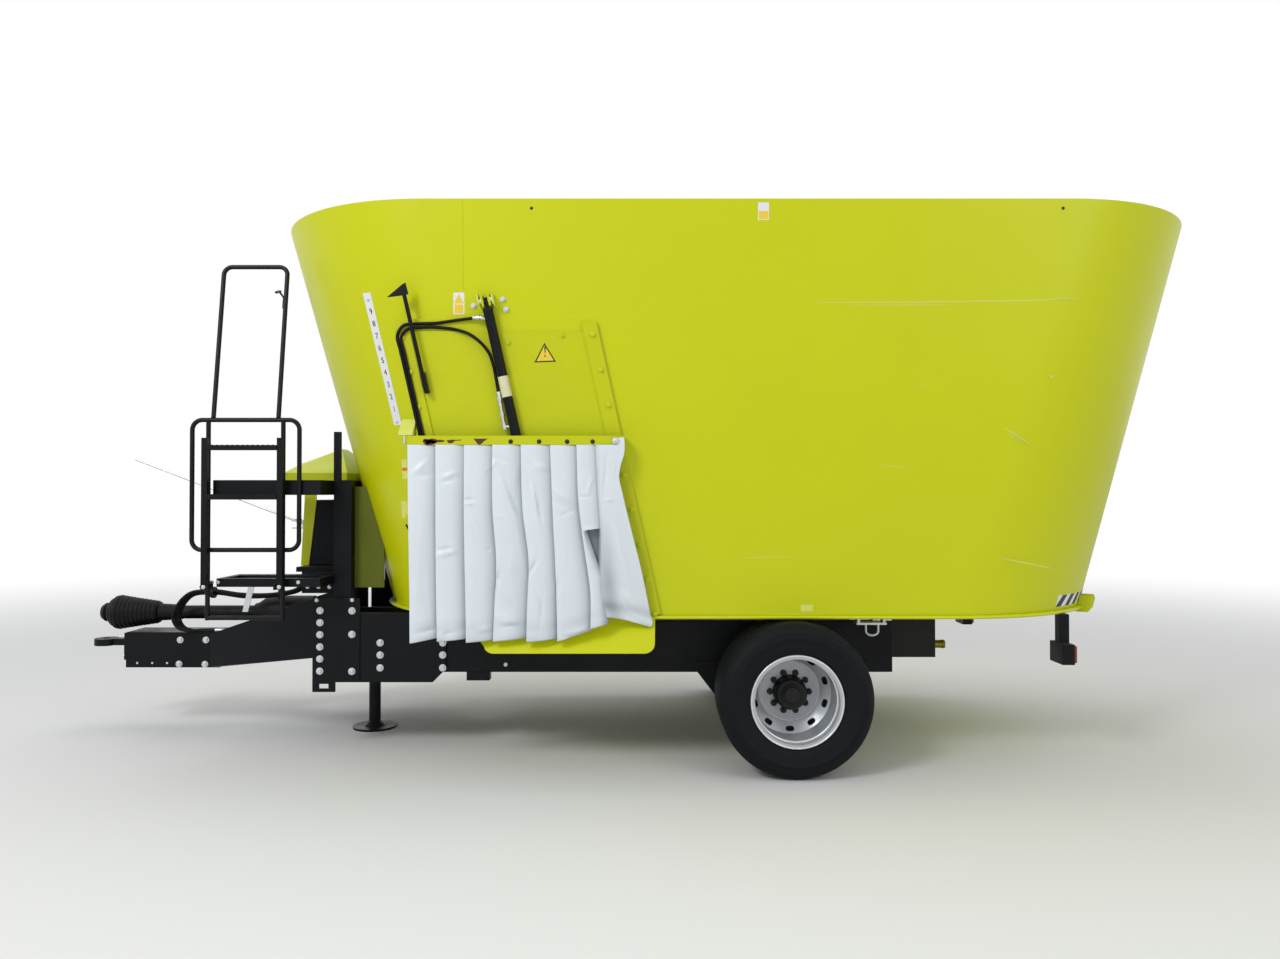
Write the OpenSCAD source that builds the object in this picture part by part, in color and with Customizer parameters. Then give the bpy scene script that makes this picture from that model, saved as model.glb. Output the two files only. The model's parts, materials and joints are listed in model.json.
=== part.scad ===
// Towed twin-auger vertical feed mixer wagon, millimetres.
// Forward is -X, the wagon's left side is -Y, up is +Z, the floor is Z = 0.

/* [Overall] */
// Length from the towing eye's tip to the rear of the tub's rim
overall_l = 7200; // [7100:10:7500]
// Width over the tyres
overall_w = 2550; // [2540:5:2700]
// Height of the tub's rim
tub_top_z = 3250; // [3150:10:3400]

/* [Tub] */
// Length of the tub at its rim
tub_top_l = 5740; // [5700:10:5840]
// Width of the tub at its rim
tub_top_w = 2480; // [2440:5:2500]
// Width of the tub at its floor, which is round at both ends
tub_bot_w = 2200; // [2180:5:2220]
// Radius of the rim's corners in plan
rim_corner_r = 1050; // [950:10:1100]
// Distance from the rear auger to the rear of the rim
rear_reach = 1670; // [1620:10:1720]
// Distance between the two augers
auger_gap = 2350; // [2300:10:2400]
// Wall thickness of the tub
wall_t = 8; // [6:1:12]
// Thickness of the floor plate
floor_t = 20; // [15:1:25]
// Width of the floor's lip outside the wall
floor_lip = 24; // [10:1:30]
// Gap between the tyre's top and the floor plate
tyre_gap = 7; // [6:1:30]

/* [Door] */
// Centre of the door at the floor, behind the front auger
door_ahead = 97; // [60:1:120]
// Slant of the door's rails, top towards the front
door_slant = 12.4; // [11:0.1:13.5]
// Width of the discharge opening
door_open_w = 940; // [880:5:960]
// Height of the discharge opening along the wall
door_open_h = 740; // [680:5:750]
// Width of the sliding door plate
door_w = 1016; // [1000:2:1024]
// Length of the sliding door plate
door_l = 840; // [820:5:860]
// Travel of the door from open to closed
door_travel = 750; // [740:5:770]
// Thickness of the door plate
door_t = 8; // [6:1:10]
// Width of a rail
rail_w = 84; // [78:1:90]
// Height of the rails along the wall
rail_l = 1660; // [1640:5:1680]
// Radius of the door cylinder's barrel
barrel_r = 28; // [25:1:29]
// Length of the door cylinder's barrel
barrel_l = 880; // [870:5:900]

/* [Augers] */
// Radius of the flight at the floor
flight_r0 = 960; // [900:10:980]
// Radius of the flight at the top
flight_r1 = 330; // [280:10:380]
// Height of one turn of the flight
flight_pitch = 640; // [600:10:660]
// Thickness of the flight
flight_t = 14; // [10:1:18]
// Radius of the auger's column
column_r = 150; // [130:5:170]
// Number of knives on each auger
knife_count = 7; // [5:1:8]

/* [Wheels] */
// Outer diameter of a tyre
tyre_d = 875; // [860:5:900]
// Width of a tyre
tyre_w = 440; // [400:5:450]
// Rim flange diameter
rim_d = 523; // [515:1:530]
// Distance of the axle in front of the rear auger
axle_ahead = 925; // [880:5:960]
// Number of wheel studs
stud_count = 10; // [8:1:10]
// Stud circle diameter
stud_pcd = 225; // [220:1:230]

/* [Chassis] */
// Distance of the frame beams from the centre plane
beam_y = 600; // [590:1:610]
// Width of a frame beam
beam_w = 80; // [70:1:90]
// Height of a frame beam
beam_h = 315; // [300:5:320]
// Side of the square axle beam
axle_s = 110; // [100:5:120]
// Height of the front gantry's columns
gantry_z = 1680; // [1640:5:1720]
// Height of the drive line
drive_z = 785; // [780:1:790]
// Radius of the bore in the drive shaft's yoke
spline_r = 17.5; // [17:0.1:18]
// Height of the towing eye
eye_z = 584; // [570:1:600]
// Radius of the towing eye's bore
eye_bore_r = 25; // [20:0.5:27]
// Height of the towing eye's ring
eye_t = 45; // [40:1:50]
// Radius of the jack leg
jack_r = 39; // [35:1:42]
// Travel of the jack leg
jack_travel = 270; // [200:5:280]

/* [Ladder] */
// Width of the ladder over its stiles
ladder_w = 480; // [460:5:500]
// Height of the ladder's pivot
ladder_z = 1048; // [1040:1:1060]
// Length of the ladder above its pivot
ladder_l = 877; // [860:1:890]
// Height of the platform deck
deck_z = 1677; // [1660:1:1700]
// Top of the handrail
handrail_z = 3000; // [2950:5:3050]

/* [Hidden] */
$fn = 48;

lime = "#C8D000";
black = "#15161A";
steel = "#B8BCC0";

x_front = -overall_l / 2;
x_rear = overall_l / 2;
auger_r_x = x_rear - rear_reach;
auger_f_x = auger_r_x - auger_gap;
rim_x0 = x_rear - tub_top_l;
wheel_x = auger_r_x - axle_ahead;
wheel_z = tyre_d / 2;
floor_z = tyre_d + tyre_gap;
wall_z = floor_z + floor_t;
wall_h = tub_top_z - wall_z;
wall_tilt = atan((tub_top_w - tub_bot_w) / 2 / wall_h);
beam_z0 = wheel_z + axle_s / 2;
beam_z1 = beam_z0 + beam_h;
seat = 0.3;

// Gantry column, cross member and plate places along X
col_x0 = auger_f_x - 1350;
col_d = 110;
col_x1 = col_x0 + col_d;
cross_x0 = col_x0 - 123;
cross_x1 = col_x0 + 31;
cross_h = 185;
plate_t = 16;
front_plate_t = 12;

function mix(a, b, t) = a + (b - a) * t;
function unit(v) = v / norm(v);
function arc(x, y, r, a0, a1) = [for (i = [0 : 8]) let (a = mix(a0, a1, i / 8)) [x + r * cos(a), y + r * sin(a)]];

// Corner circle of the tub at height share t: [x, y, radius], front or rear, left or right
function tub_corner(t, rear, side) = [
  mix(rear ? auger_r_x : auger_f_x, rear ? x_rear - rim_corner_r : rim_x0 + rim_corner_r, t),
  side * mix(0, tub_top_w / 2 - rim_corner_r, t),
  mix(tub_bot_w / 2, rim_corner_r, t)
];

// Plan of the tub at height share t, drawn in from the outer face by inset
// Foremost point of the tub on the centre plane at height z
function tub_front(z) = let (c = tub_corner((z - wall_z) / wall_h, false, 1)) c[0] - c[2];
module tub_section(t, inset) {
  hull()
    for (rear = [false, true], side = [-1, 1]) {
      c = tub_corner(t, rear, side);
      translate([c[0], c[1]])
        circle(r = c[2] - inset, $fn = 72);
    }
}

// Ruled body between two height shares of the tub
module tub_body(t0, t1, inset) {
  skin = 1;
  hull() {
    translate([0, 0, wall_z + t0 * wall_h])
      linear_extrude(skin)
        tub_section(t0, inset);
    translate([0, 0, wall_z + t1 * wall_h - skin])
      linear_extrude(skin)
        tub_section(t1, inset);
  }
}

// Left wall's own plane: x to the rear, y up along the wall, z outwards
door_x = auger_f_x + door_ahead;
module on_left_wall(out = 0) {
  translate([0, -tub_bot_w / 2, wall_z])
    rotate([90 + wall_tilt, 0, 0])
      translate([0, 0, out])
        children();
}
function lean(y) = -tan(door_slant) * y;
// Slanted strip between two distances from the door's centre line
module leaning(x0, x1, y0, y1) {
  polygon([
    [door_x + x0 + lean(y0), y0], [door_x + x1 + lean(y0), y0],
    [door_x + x1 + lean(y1), y1], [door_x + x0 + lean(y1), y1]
  ]);
}
module on_slant(x, y) {
  translate([door_x + x + lean(y), y, 0])
    rotate([0, 0, door_slant])
      children();
}

rail_in = door_open_w / 2 + 18;
rail_mid = door_w / 2 + 6;
rail_out = rail_in + rail_w;
groove = door_t + 1.2;
cap_t = 10;
door_y0 = door_travel + 22;
bed_t = 3;

// Straight-sided tube along a route of points
function tangents(p) = [for (i = [0 : len(p) - 1])
  unit(p[min(i + 1, len(p) - 1)] - p[max(i - 1, 0)])];
function carried(t, i, n) = i == len(t) ? [] :
  let (m = unit(n - (n * t[i]) * t[i])) concat([m], carried(t, i + 1, m));
function spline(a, b, c, d, u) =
  (2 * b + (c - a) * u + (2 * a - 5 * b + 4 * c - d) * u * u
    + (3 * b - a - 3 * c + d) * u * u * u) / 2;
function smooth(p, m) = concat(
  [for (i = [0 : len(p) - 2], k = [0 : m - 1])
    spline(p[max(i - 1, 0)], p[i], p[i + 1], p[min(i + 2, len(p) - 1)], k / m)],
  [p[len(p) - 1]]);
module hose(route, r, sides = 8, across = [0, 0, 1]) {
  t = tangents(route);
  n = carried(t, 0, across);
  last = len(route) - 1;
  polyhedron(
    points = [for (i = [0 : last], k = [0 : sides - 1])
      route[i] + r * (cos(k * 360 / sides) * n[i] + sin(k * 360 / sides) * cross(t[i], n[i]))],
    faces = concat(
      [[for (k = [0 : sides - 1]) k]],
      [[for (k = [sides - 1 : -1 : 0]) last * sides + k]],
      [for (i = [0 : last - 1], k = [0 : sides - 1])
        [i * sides + k, (i + 1) * sides + k, (i + 1) * sides + (k + 1) % sides]],
      [for (i = [0 : last - 1], k = [0 : sides - 1])
        [i * sides + k, (i + 1) * sides + (k + 1) % sides, i * sides + (k + 1) % sides]]));
}

// Rod between two points
module rod(a, b, r) {
  d = b - a;
  translate(a)
    rotate([0, acos(d[2] / norm(d)), atan2(d[1], d[0])])
      cylinder(r = r, h = norm(d));
}

// Quarter bend of a tube in its own XY plane, centre at the origin
module bend(r, tube_r, from = 0, sweep = 90) {
  rotate([0, 0, from])
    rotate_extrude(angle = sweep)
      translate([r, 0])
        circle(r = tube_r);
}

// Closed loop of tube with round corners in its own XY plane, centred
module tube_ring(w, h, r, tube_r) {
  for (s = [-1, 1]) {
    translate([s * w / 2, 0, 0])
      rotate([90, 0, 0])
        cylinder(r = tube_r, h = h - 2 * r, center = true);
    translate([0, s * h / 2, 0])
      rotate([0, 90, 0])
        cylinder(r = tube_r, h = w - 2 * r, center = true);
  }
  for (c = [[1, 1, 0], [-1, 1, 90], [-1, -1, 180], [1, -1, 270]])
    translate([c[0] * (w / 2 - r), c[1] * (h / 2 - r), 0])
      bend(r, tube_r, c[2]);
}

// Upright pane in the XZ plane, x to the rear, y up, thickness towards +Y
module both_sides() {
  children();
  mirror([0, 1, 0])
    children();
}

module tub_shell() {
  color(lime)
    difference() {
      union() {
        tub_body(0, 1, 0);
        on_left_wall()
          translate([0, 0, -130])
            linear_extrude(130 + bed_t)
              leaning(-rail_out - 4, rail_out + 4, 4, rail_l + 20);
      }
      tub_body(-0.01, 1.01, wall_t);
      on_left_wall()
        translate([0, 0, -300])
          linear_extrude(400)
            leaning(-door_open_w / 2, door_open_w / 2, 8, door_open_h);
    }
}

gearbox_hole_r = 130;
module tub_floor() {
  color(lime)
    translate([0, 0, floor_z])
      difference() {
        linear_extrude(floor_t - 0.01)
          tub_section(0, -floor_lip);
        for (x = [auger_f_x, auger_r_x])
          translate([x, 0, -1])
            cylinder(r = gearbox_hole_r, h = floor_t + 2);
      }
}

module door_rails() {
  color(lime)
    on_left_wall(bed_t)
      for (s = [-1, 1]) {
        linear_extrude(groove)
          leaning(s > 0 ? rail_mid : -rail_out, s > 0 ? rail_out : -rail_mid, 10, rail_l);
        translate([0, 0, groove])
          linear_extrude(cap_t)
            leaning(s > 0 ? rail_in : -rail_out, s > 0 ? rail_out : -rail_in, 10, rail_l);
      }
  cylinder_mount();
}

module door_plate() {
  color(lime)
    on_left_wall(bed_t)
      translate([0, 0, 0.6])
        linear_extrude(door_t)
          leaning(-door_w / 2, door_w / 2, door_y0, door_y0 + door_l);
}

// Door pointer: an upright black bar with a head that points at the scale
pointer_x = -rail_in + 24;
pointer_y0 = door_y0 + door_l - 350;
pointer_l = 600;
pointer_n = groove + cap_t + 28;
module door_pointer() {
  color(black)
    on_left_wall(bed_t)
      on_slant(pointer_x, pointer_y0) {
        translate([-11, 0, door_t + 0.6])
          cube([22, 120, pointer_n - door_t]);
        translate([-11, 0, pointer_n])
          cube([22, pointer_l, 8]);
        translate([-11, pointer_l - 30, pointer_n])
          linear_extrude(8)
            polygon([[0, 0], [22, 0], [22, 52], [-80, 0], [0, 12]]);
      }
}

scale_l = 760;
scale_w = 52;
scale_x = -rail_out - 143;
module scale_strip() {
  color("white")
    intersection() {
      difference() {
        tub_body(0, 1, -3);
        tub_body(0, 1, -0.05);
      }
      on_left_wall()
        translate([0, 0, -400])
          linear_extrude(460)
            leaning(scale_x - scale_w / 2, scale_x + scale_w / 2, 1085, 1085 + scale_l);
    }
}

// Door cylinder, parallel to the rails
cyl_x = -19;
cyl_n = 37;
cyl_y1 = 1780;
barrel_y1 = cyl_y1 - 45;
rod_l = 900;
module on_cylinder(y) {
  on_left_wall(bed_t)
    translate([door_x + cyl_x + lean(y), y, cyl_n])
      rotate([90, 0, door_slant])
        children();
}
module cylinder_barrel() {
  color(black) {
    on_cylinder(barrel_y1)
      difference() {
        cylinder(r = barrel_r, h = barrel_l);
        translate([0, 0, 30])
          cylinder(r = 16.05, h = barrel_l);
      }
    on_cylinder(barrel_y1)
      difference() {
        translate([-10, -12, -60])
          cube([20, 24, 61]);
        translate([-11, 0, -44])
          rotate([0, 90, 0])
            cylinder(r = 9.3, h = 22);
      }
  }
}
module door_rod() {
  color(steel)
    on_cylinder(door_y0 + 30)
      translate([0, 0, -rod_l])
        cylinder(r = 16, h = rod_l);
  color(black)
    on_left_wall(bed_t)
      on_slant(cyl_x, door_y0 + 10)
        translate([-26, -2, door_t + 0.6])
          cube([52, 60, cyl_n + 14 - door_t - 0.6]);
}
module cylinder_mount() {
  color(lime)
    on_left_wall(bed_t)
      on_slant(cyl_x, cyl_y1)
        for (s = [-1, 1])
          translate([s * 20 - 6, -34, 0])
            cube([12, 70, cyl_n + 14]);
  color(steel)
    on_left_wall(bed_t)
      on_slant(cyl_x, cyl_y1 - 2)
        translate([-36, 0, cyl_n])
          rotate([0, 90, 0])
            cylinder(r = 9, h = 72);
}

// Curtain in front of the discharge opening
bar_y = tub_top_w / 2;
bar_z = 1894;
bar_x0 = door_x - 838;
bar_x1 = door_x + 364;
bar_h = 50;
bar_t = 12;
module curtain_bar() {
  color(lime) {
    translate([bar_x0, -bar_y - bar_t, bar_z - bar_h / 2])
      cube([bar_x1 - bar_x0, bar_t, bar_h]);
    difference() {
      for (x = [bar_x0, bar_x1 - 12])
        translate([x, -bar_y, bar_z - bar_h / 2])
          cube([12, 300, bar_h]);
      tub_body(0, 1, -seat);
      on_left_wall(seat)
        translate([-3000, 0, -600])
          cube([6000, 3000, 600]);
      on_left_wall(-1)
        linear_extrude(bed_t + groove + cap_t + 2)
          leaning(-rail_out - 5, rail_out + 5, 0, rail_l + 30);
    }
  }
}

curtain_z0 = 772;
curtain_d = 40;
flap_x = 225;
flap_z = 850;
// The last pleat is drawn back from the bar to the foot of the rear rail
module curtain() {
  top = bar_z - bar_h / 2 - seat;
  face = bar_y + bar_t + 20;
  in = tub_bot_w / 2 + floor_lip + 42;
  color("#E8E9EA") {
    translate([bar_x0, -face, curtain_z0])
      cube([door_x - bar_x0 + 218, curtain_d, top - curtain_z0]);
    translate([door_x + 217, -face, flap_z + 45])
      cube([bar_x1 - door_x - 217, curtain_d, top - flap_z - 45]);
    hull() {
      translate([bar_x1 - 30, -face + 4, top - 8])
        cube([30, 24, 8]);
      translate([bar_x1 - 60, -face + 4, flap_z + 45])
        cube([40, 16, 30]);
      translate([bar_x1 + flap_x - 78, -in - 10, flap_z])
        cube([8, 10, 40]);
    }
  }
}

// Discharge chute below the opening
chute_y = tub_top_w / 2 + 5;
chute_z = 700;
chute_t = 6;
chute_x0 = door_x - 422;
chute_x1 = door_x + 535;
chute_round = 60;
module chute() {
  in_y = tub_bot_w / 2 + floor_lip;
  out = chute_y - in_y;
  drop = floor_z - chute_z;
  color(lime)
    translate([0, -in_y - seat, floor_z + 6])
      rotate([atan2(drop, out), 0, 0])
        mirror([0, 1, 0])
          linear_extrude(chute_t)
            polygon(concat(
              [[chute_x0 - 135, 0], [chute_x1 + 3, 0]],
              arc(chute_x1 - chute_round, norm([out, drop]) - chute_round, chute_round, 0, 90),
              arc(chute_x0 + chute_round, norm([out, drop]) - chute_round, chute_round, 90, 165)));
}

hose_r = 9;
hose_on_rail = groove + cap_t + hose_r + seat;
// Wall place [x, y, out] of a hose that runs down the front rail, a from the door's middle
function on_rail(a, y) = [door_x + a + lean(y), y, hose_on_rail];
module door_hoses() {
  near = -rail_mid - 29;
  far = -rail_mid - 48.5;
  bed_n = hose_r + seat;
  color(black)
    on_left_wall(bed_t) {
      hose(smooth(concat(
        [[door_x - 425, 1690, cyl_n], [door_x - 480, 1684, 24], [door_x - 580, 1676, 11],
         [door_x - 700, 1674, bed_n], [door_x - 800, 1680, 14], [door_x - 866, 1670, 30]],
        [for (y = [1600, 1520, 1400, 1200, 1000, 800, 700]) on_rail(near, y)]), 4), hose_r);
      hose(smooth(concat(
        [[door_x - 398, 1562, 42], [door_x - 430, 1584, 43], [door_x - 462, 1630, 42],
         [door_x - 510, 1675, 34], [door_x - 590, 1700, 18], [door_x - 700, 1698, bed_n],
         [door_x - 810, 1700, 13], [door_x - 884, 1684, 30]],
        [for (y = [1610, 1520, 1400, 1200, 1000, 800, 700]) on_rail(far, y)]), 4), hose_r);
    }
}

// Frame beams with their cross members
beam_x1 = wheel_x + 685;
module frame_beams() {
  color(black) {
    both_sides()
      translate([col_x1, -beam_y - beam_w / 2, beam_z0])
        cube([beam_x1 - col_x1, beam_w, beam_h]);
    for (x = [auger_f_x - 700, auger_f_x + 700, wheel_x - 60, beam_x1 - 120])
      translate([x, -beam_y + beam_w / 2, beam_z0])
        cube([120, 2 * beam_y - beam_w, 120]);
    translate([cross_x0, -beam_y + beam_w / 2, beam_z0])
      cube([cross_x1 - cross_x0, 2 * beam_y - beam_w, cross_h]);
  }
}

module front_plates() {
  y = beam_y + beam_w / 2;
  z0 = beam_z0 - 60;
  color(black)
    both_sides()
      translate([0, -y, 0])
        rotate([90, 0, 0])
          linear_extrude(plate_t)
            difference() {
              union() {
                polygon([
                  [cross_x0, z0], [cross_x0, 951], [col_x1, 951], [col_x1, 860],
                  [auger_f_x - 650, 860], [auger_f_x - 650, z0 + 80],
                  [auger_f_x - 730, z0]]);
                translate([cross_x0, z0 - 60])
                  square([140, 62]);
              }
              translate([cross_x0 + 40, z0 - 40])
                square([60, 30]);
            }
}

module gantry() {
  color(black) {
    both_sides()
      translate([col_x0, -beam_y - beam_w / 2, beam_z0 - 60])
        cube([col_d, beam_w, gantry_z - beam_z0 + 60]);
    translate([col_x0, -beam_y + beam_w / 2, gantry_z - 80])
      cube([tub_front(gantry_z) - 5 - col_x0, 2 * beam_y - beam_w, 80]);
    translate([col_x0 - 260, -beam_y + beam_w / 2, 1105])
      cube([290, 2 * beam_y - beam_w, 30]);
    both_sides()
      translate([col_x0 - 1, -beam_y - beam_w / 2, gantry_z - 1])
        cube([41, 30, 301]);
  }
}

// Gussets between the gantry's columns and the tub's front wall
module tub_brackets() {
  color(lime)
    difference() {
      both_sides()
        translate([0, -beam_y + beam_w / 2 + 2, 0])
          rotate([90, 0, 0])
            linear_extrude(12)
              polygon([
                [col_x1, 1008], [col_x1 + 186, 1008], [col_x1 + 186, 1300],
                [col_x1 + 100, 1640], [col_x1, 1640]]);
      tub_body(0, 1, -seat);
    }
}

// Drawbar: hitch box, two tapered plates and the bolted front plate
hitch_x0 = x_front + 270;
hitch_x1 = x_front + 904;
hitch_z0 = 427;
hitch_z1 = 663;
hitch_y = 120;
draw_y = 500;
draw_x1 = cross_x0 - front_plate_t;
module drawbar() {
  color(black) {
    difference() {
      translate([hitch_x0, -hitch_y, hitch_z0])
        cube([hitch_x1 - hitch_x0, 2 * hitch_y, hitch_z1 - hitch_z0]);
      translate([hitch_x0 + 40, -hitch_y + 20, hitch_z0 + 16])
        cube([hitch_x1 - hitch_x0, 2 * hitch_y - 40, hitch_z1 - hitch_z0 - 32]);
    }
    both_sides()
      hull() {
        translate([hitch_x1 - 60, -hitch_y - 20, hitch_z0 + 8])
          cube([60, 20, hitch_z1 - hitch_z0 - 16]);
        translate([draw_x1 - 10, -draw_y - 20, 561])
          cube([10, 20, 380]);
      }
    difference() {
      translate([draw_x1, -beam_y + 30, beam_z0 - 20])
        cube([front_plate_t, 2 * beam_y - 60, 478]);
      translate([draw_x1 - 1, 0, drive_z])
        rotate([0, 90, 0])
          cylinder(r = 110, h = front_plate_t + 2);
    }
  }
}

eye_r = 75;
eye_x = x_front + eye_r;
module towing_eye() {
  color(black)
    difference() {
      union() {
        translate([eye_x, 0, eye_z])
          cylinder(r = eye_r, h = eye_t, center = true);
        translate([eye_x + 40, -35, eye_z - 22])
          cube([hitch_x0 - eye_x - 40 - 20, 70, 44]);
        translate([hitch_x0 - 25, -95, eye_z - 110])
          cube([25, 190, 180]);
      }
      translate([eye_x, 0, eye_z])
        cylinder(r = eye_bore_r, h = eye_t + 2, center = true);
    }
}

// Parking jack under the front cross member
jack_x = cross_x1 + 54;
jack_z0 = 330;
jack_z1 = 715;
jack_foot_r = 146;
module jack_tube() {
  color(black)
    difference() {
      union() {
        translate([jack_x, 0, jack_z0])
          cylinder(r = jack_r + 11, h = jack_z1 - jack_z0);
        translate([cross_x1, -70, beam_z0 + 20])
          cube([40, 140, 140]);
      }
      translate([jack_x, 0, jack_z0 - 1])
        cylinder(r = jack_r + 0.5, h = jack_z1 - jack_z0 - 2);
    }
}
module jack_leg() {
  color(black)
    translate([jack_x, 0, 0]) {
      cylinder(r = jack_foot_r, h = 14);
      cylinder(r1 = 90, r2 = jack_r, h = 45);
      cylinder(r = jack_r, h = jack_z1 - jack_travel - 6);
    }
}

// Platform, ladder and rails at the front left
lad_y = 900;
lad_x1 = col_x0 - 200;
lad_x0 = lad_x1 - ladder_w;
lad_x = (lad_x0 + lad_x1) / 2;
stile = 36;
heel = 16;
fold_y = lad_y + 44;
tube_r = 13.5;
deck_y = lad_y - tube_r;
deck_y0 = beam_y - beam_w / 2;
hoop_w = 636;
hoop_h = 771;
hoop_z = 1648;
hoop_top = hoop_z + hoop_h / 2;
module platform() {
  color(black) {
    difference() {
      translate([lad_x0 + 40, -deck_y, deck_z - 89])
        cube([col_x0 - lad_x0 - 40, deck_y - deck_y0, 89]);
      translate([lad_x0 + 80, -deck_y + 40, deck_z - 90])
        cube([col_x0 - lad_x0 - 120, deck_y - deck_y0 - 120, 55]);
      for (i = [0 : 7])
        translate([lad_x0 + 90 + i * 66, -deck_y + 50, deck_z - 50])
          cube([44, deck_y - deck_y0 - 140, 60]);
    }
    difference() {
      translate([lad_x0 + 64, -deck_y, ladder_z - 6])
        cube([col_x0 - lad_x0 - 64, deck_y - deck_y0, 50]);
      translate([lad_x0 + 104, -deck_y + 40, ladder_z - 7])
        cube([col_x0 - lad_x0 - 144, deck_y - deck_y0 - 120, 52]);
    }
  }
}

module ladder_frame() {
  u_z = 847;
  color(black) {
    for (x = [lad_x0 + stile / 2, lad_x1 - stile / 2]) {
      translate([x, -lad_y, u_z])
        cylinder(r = tube_r, h = hoop_top - u_z);
    }
    for (x = [lad_x0 + stile, lad_x1 - stile]) {
      inner = x < lad_x ? 1 : -1;
      translate([x + inner * 7, -(fold_y + lad_y) / 2 - 8, ladder_z])
        cube([10, fold_y - lad_y + 32, 2 * heel], center = true);
      translate([x - inner * 6, -lad_y, ladder_z])
        cube([36, 16, 2 * heel], center = true);
      translate([x - inner * (stile + 6), -fold_y, ladder_z])
        rotate([0, inner * 90, 0])
          cylinder(r = 8, h = stile + 10);
    }
    translate([lad_x0 + stile / 2, -lad_y, u_z + tube_r])
      rotate([0, 90, 0])
        cylinder(r = tube_r, h = ladder_w - stile);
    translate([lad_x, -lad_y, hoop_z])
      rotate([90, 0, 0])
        tube_ring(hoop_w, hoop_h, 60, tube_r);
  }
}

// Upside-down U of tube in its own XY plane, feet on the X axis
module tube_arch(w, h, r, tube_r) {
  for (s = [-1, 1])
    translate([s * w / 2, 0, 0])
      rotate([-90, 0, 0])
        cylinder(r = tube_r, h = h - r);
  translate([-w / 2 + r, h, 0])
    rotate([0, 90, 0])
      cylinder(r = tube_r, h = w - 2 * r);
  translate([w / 2 - r, h - r, 0])
    bend(r, tube_r, 0);
  translate([-w / 2 + r, h - r, 0])
    bend(r, tube_r, 90);
}

rail_lean = 140;
module handrail() {
  foot = hoop_top + tube_r + seat;
  rise = handrail_z - tube_r - foot;
  color(black)
    translate([lad_x, -lad_y, foot])
      rotate([90 - atan(rail_lean / rise), 0, 0])
        tube_arch(386, rise, 50, tube_r);
}

module ladder_fold() {
  color(black)
    translate([0, -fold_y, ladder_z]) {
      difference() {
        for (x = [lad_x0, lad_x1 - stile])
          translate([x, -12, -heel])
            cube([stile, 24, ladder_l + heel]);
        translate([lad_x0 - 1, 0, 0])
          rotate([0, 90, 0])
            cylinder(r = 8.5, h = ladder_w + 2);
      }
      for (z = [513, 804])
        translate([lad_x0 + stile, -18, z])
          cube([ladder_w - 2 * stile, 36, 30]);
    }
}

hood_x0 = col_x0 - 378;
hood_z = 1890;
hood_skirt = 48;
hood_y0 = -460;
hood_y1 = 400;
// Cover with an upright skirt, sloped sides and a ridge that climbs to the rear; inset shrinks it
module hood_form(inset) {
  x0 = hood_x0 + inset;
  x1 = tub_front(gantry_z + hood_skirt) - 4 - inset;
  y0 = hood_y0 + inset;
  y1 = hood_y1 - inset;
  z0 = gantry_z + (inset > 0 ? -1 : 0);
  z1 = gantry_z + hood_skirt - inset / 2;
  polyhedron(
    points = [
      [x0, y0, z0], [x1, y0, z0], [x1, y1, z0], [x0, y1, z0],
      [x0, y0, z1], [x1, y0, z1], [x1, y1, z1], [x0, y1, z1],
      [x0, -150, hood_z - 95 - inset], [col_x0 - 118, -100, hood_z + 8 - inset],
      [col_x0 - 118, 40, hood_z + 8 - inset], [x0, 90, hood_z - 95 - inset]],
    faces = [
      [0, 1, 2, 3], [0, 4, 5, 1], [1, 5, 6, 2], [2, 6, 7, 3], [3, 7, 11, 8, 4, 0],
      [4, 8, 9], [4, 9, 5], [5, 9, 10, 6], [6, 10, 7], [7, 10, 11], [8, 11, 10], [8, 10, 9]]);
}
module hood_cover() {
  color(lime) {
    difference() {
      hood_form(0);
      hood_form(4);
    }
    translate([0, -420.3, 0])
      rotate([90, 0, 0])
        linear_extrude(6)
          polygon([
            [tank_x0 - 28, 1135.3], [tank_x0 + 24, 1135.3], [tank_x0 + 72, 1555],
            [tank_x0 + 72, gantry_z + 1], [tank_x0 - 6, gantry_z + 1], [tank_x0 - 6, 1555]]);
    translate([tank_x0 - 6, hood_y0 + 3, gantry_z])
      cube([78, -420.3 - hood_y0 - 3, 6]);
  }
}

tank_x0 = col_x0 - 250;
module oil_tank() {
  color(black)
    translate([tank_x0, -420, 1135])
      cube([230, 840, 420]);
}

// PTO shaft and its guards on the drive line
pto_x0 = x_front + 55;
pto_x1 = cross_x0 - 140;
module along_drive(x) {
  translate([x, 0, drive_z])
    rotate([0, 90, 0])
      children();
}
yoke_l = 150;
spline_l = 100;
module pto_shaft() {
  color(black) {
    along_drive(pto_x0 + 60)
      difference() {
        cylinder(r = 42, h = yoke_l);
        translate([0, 0, -1])
          cylinder(r = spline_r, h = spline_l + 1);
      }
    along_drive(pto_x0 + 60 + yoke_l)
      cylinder(r = 30, h = 300);
    along_drive(pto_x0 + 500)
      cylinder(r = 45, h = pto_x1 - pto_x0 - 500);
  }
}
guard_l = 540;
guard_ribs = 9;
module pto_guard() {
  pitch = guard_l / guard_ribs;
  color(black)
    along_drive(pto_x0)
      difference() {
        rotate_extrude()
          union() {
            polygon([[0, 0], [112, 0], [72, guard_l], [0, guard_l]]);
            for (i = [0 : guard_ribs - 1])
              translate([0, i * pitch])
                square([120 - i * 5, pitch * 0.6]);
          }
        translate([0, 0, -1])
          cylinder(r = 64, h = 440);
        cylinder(r = 45 + seat, h = guard_l + 1);
      }
}

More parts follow.
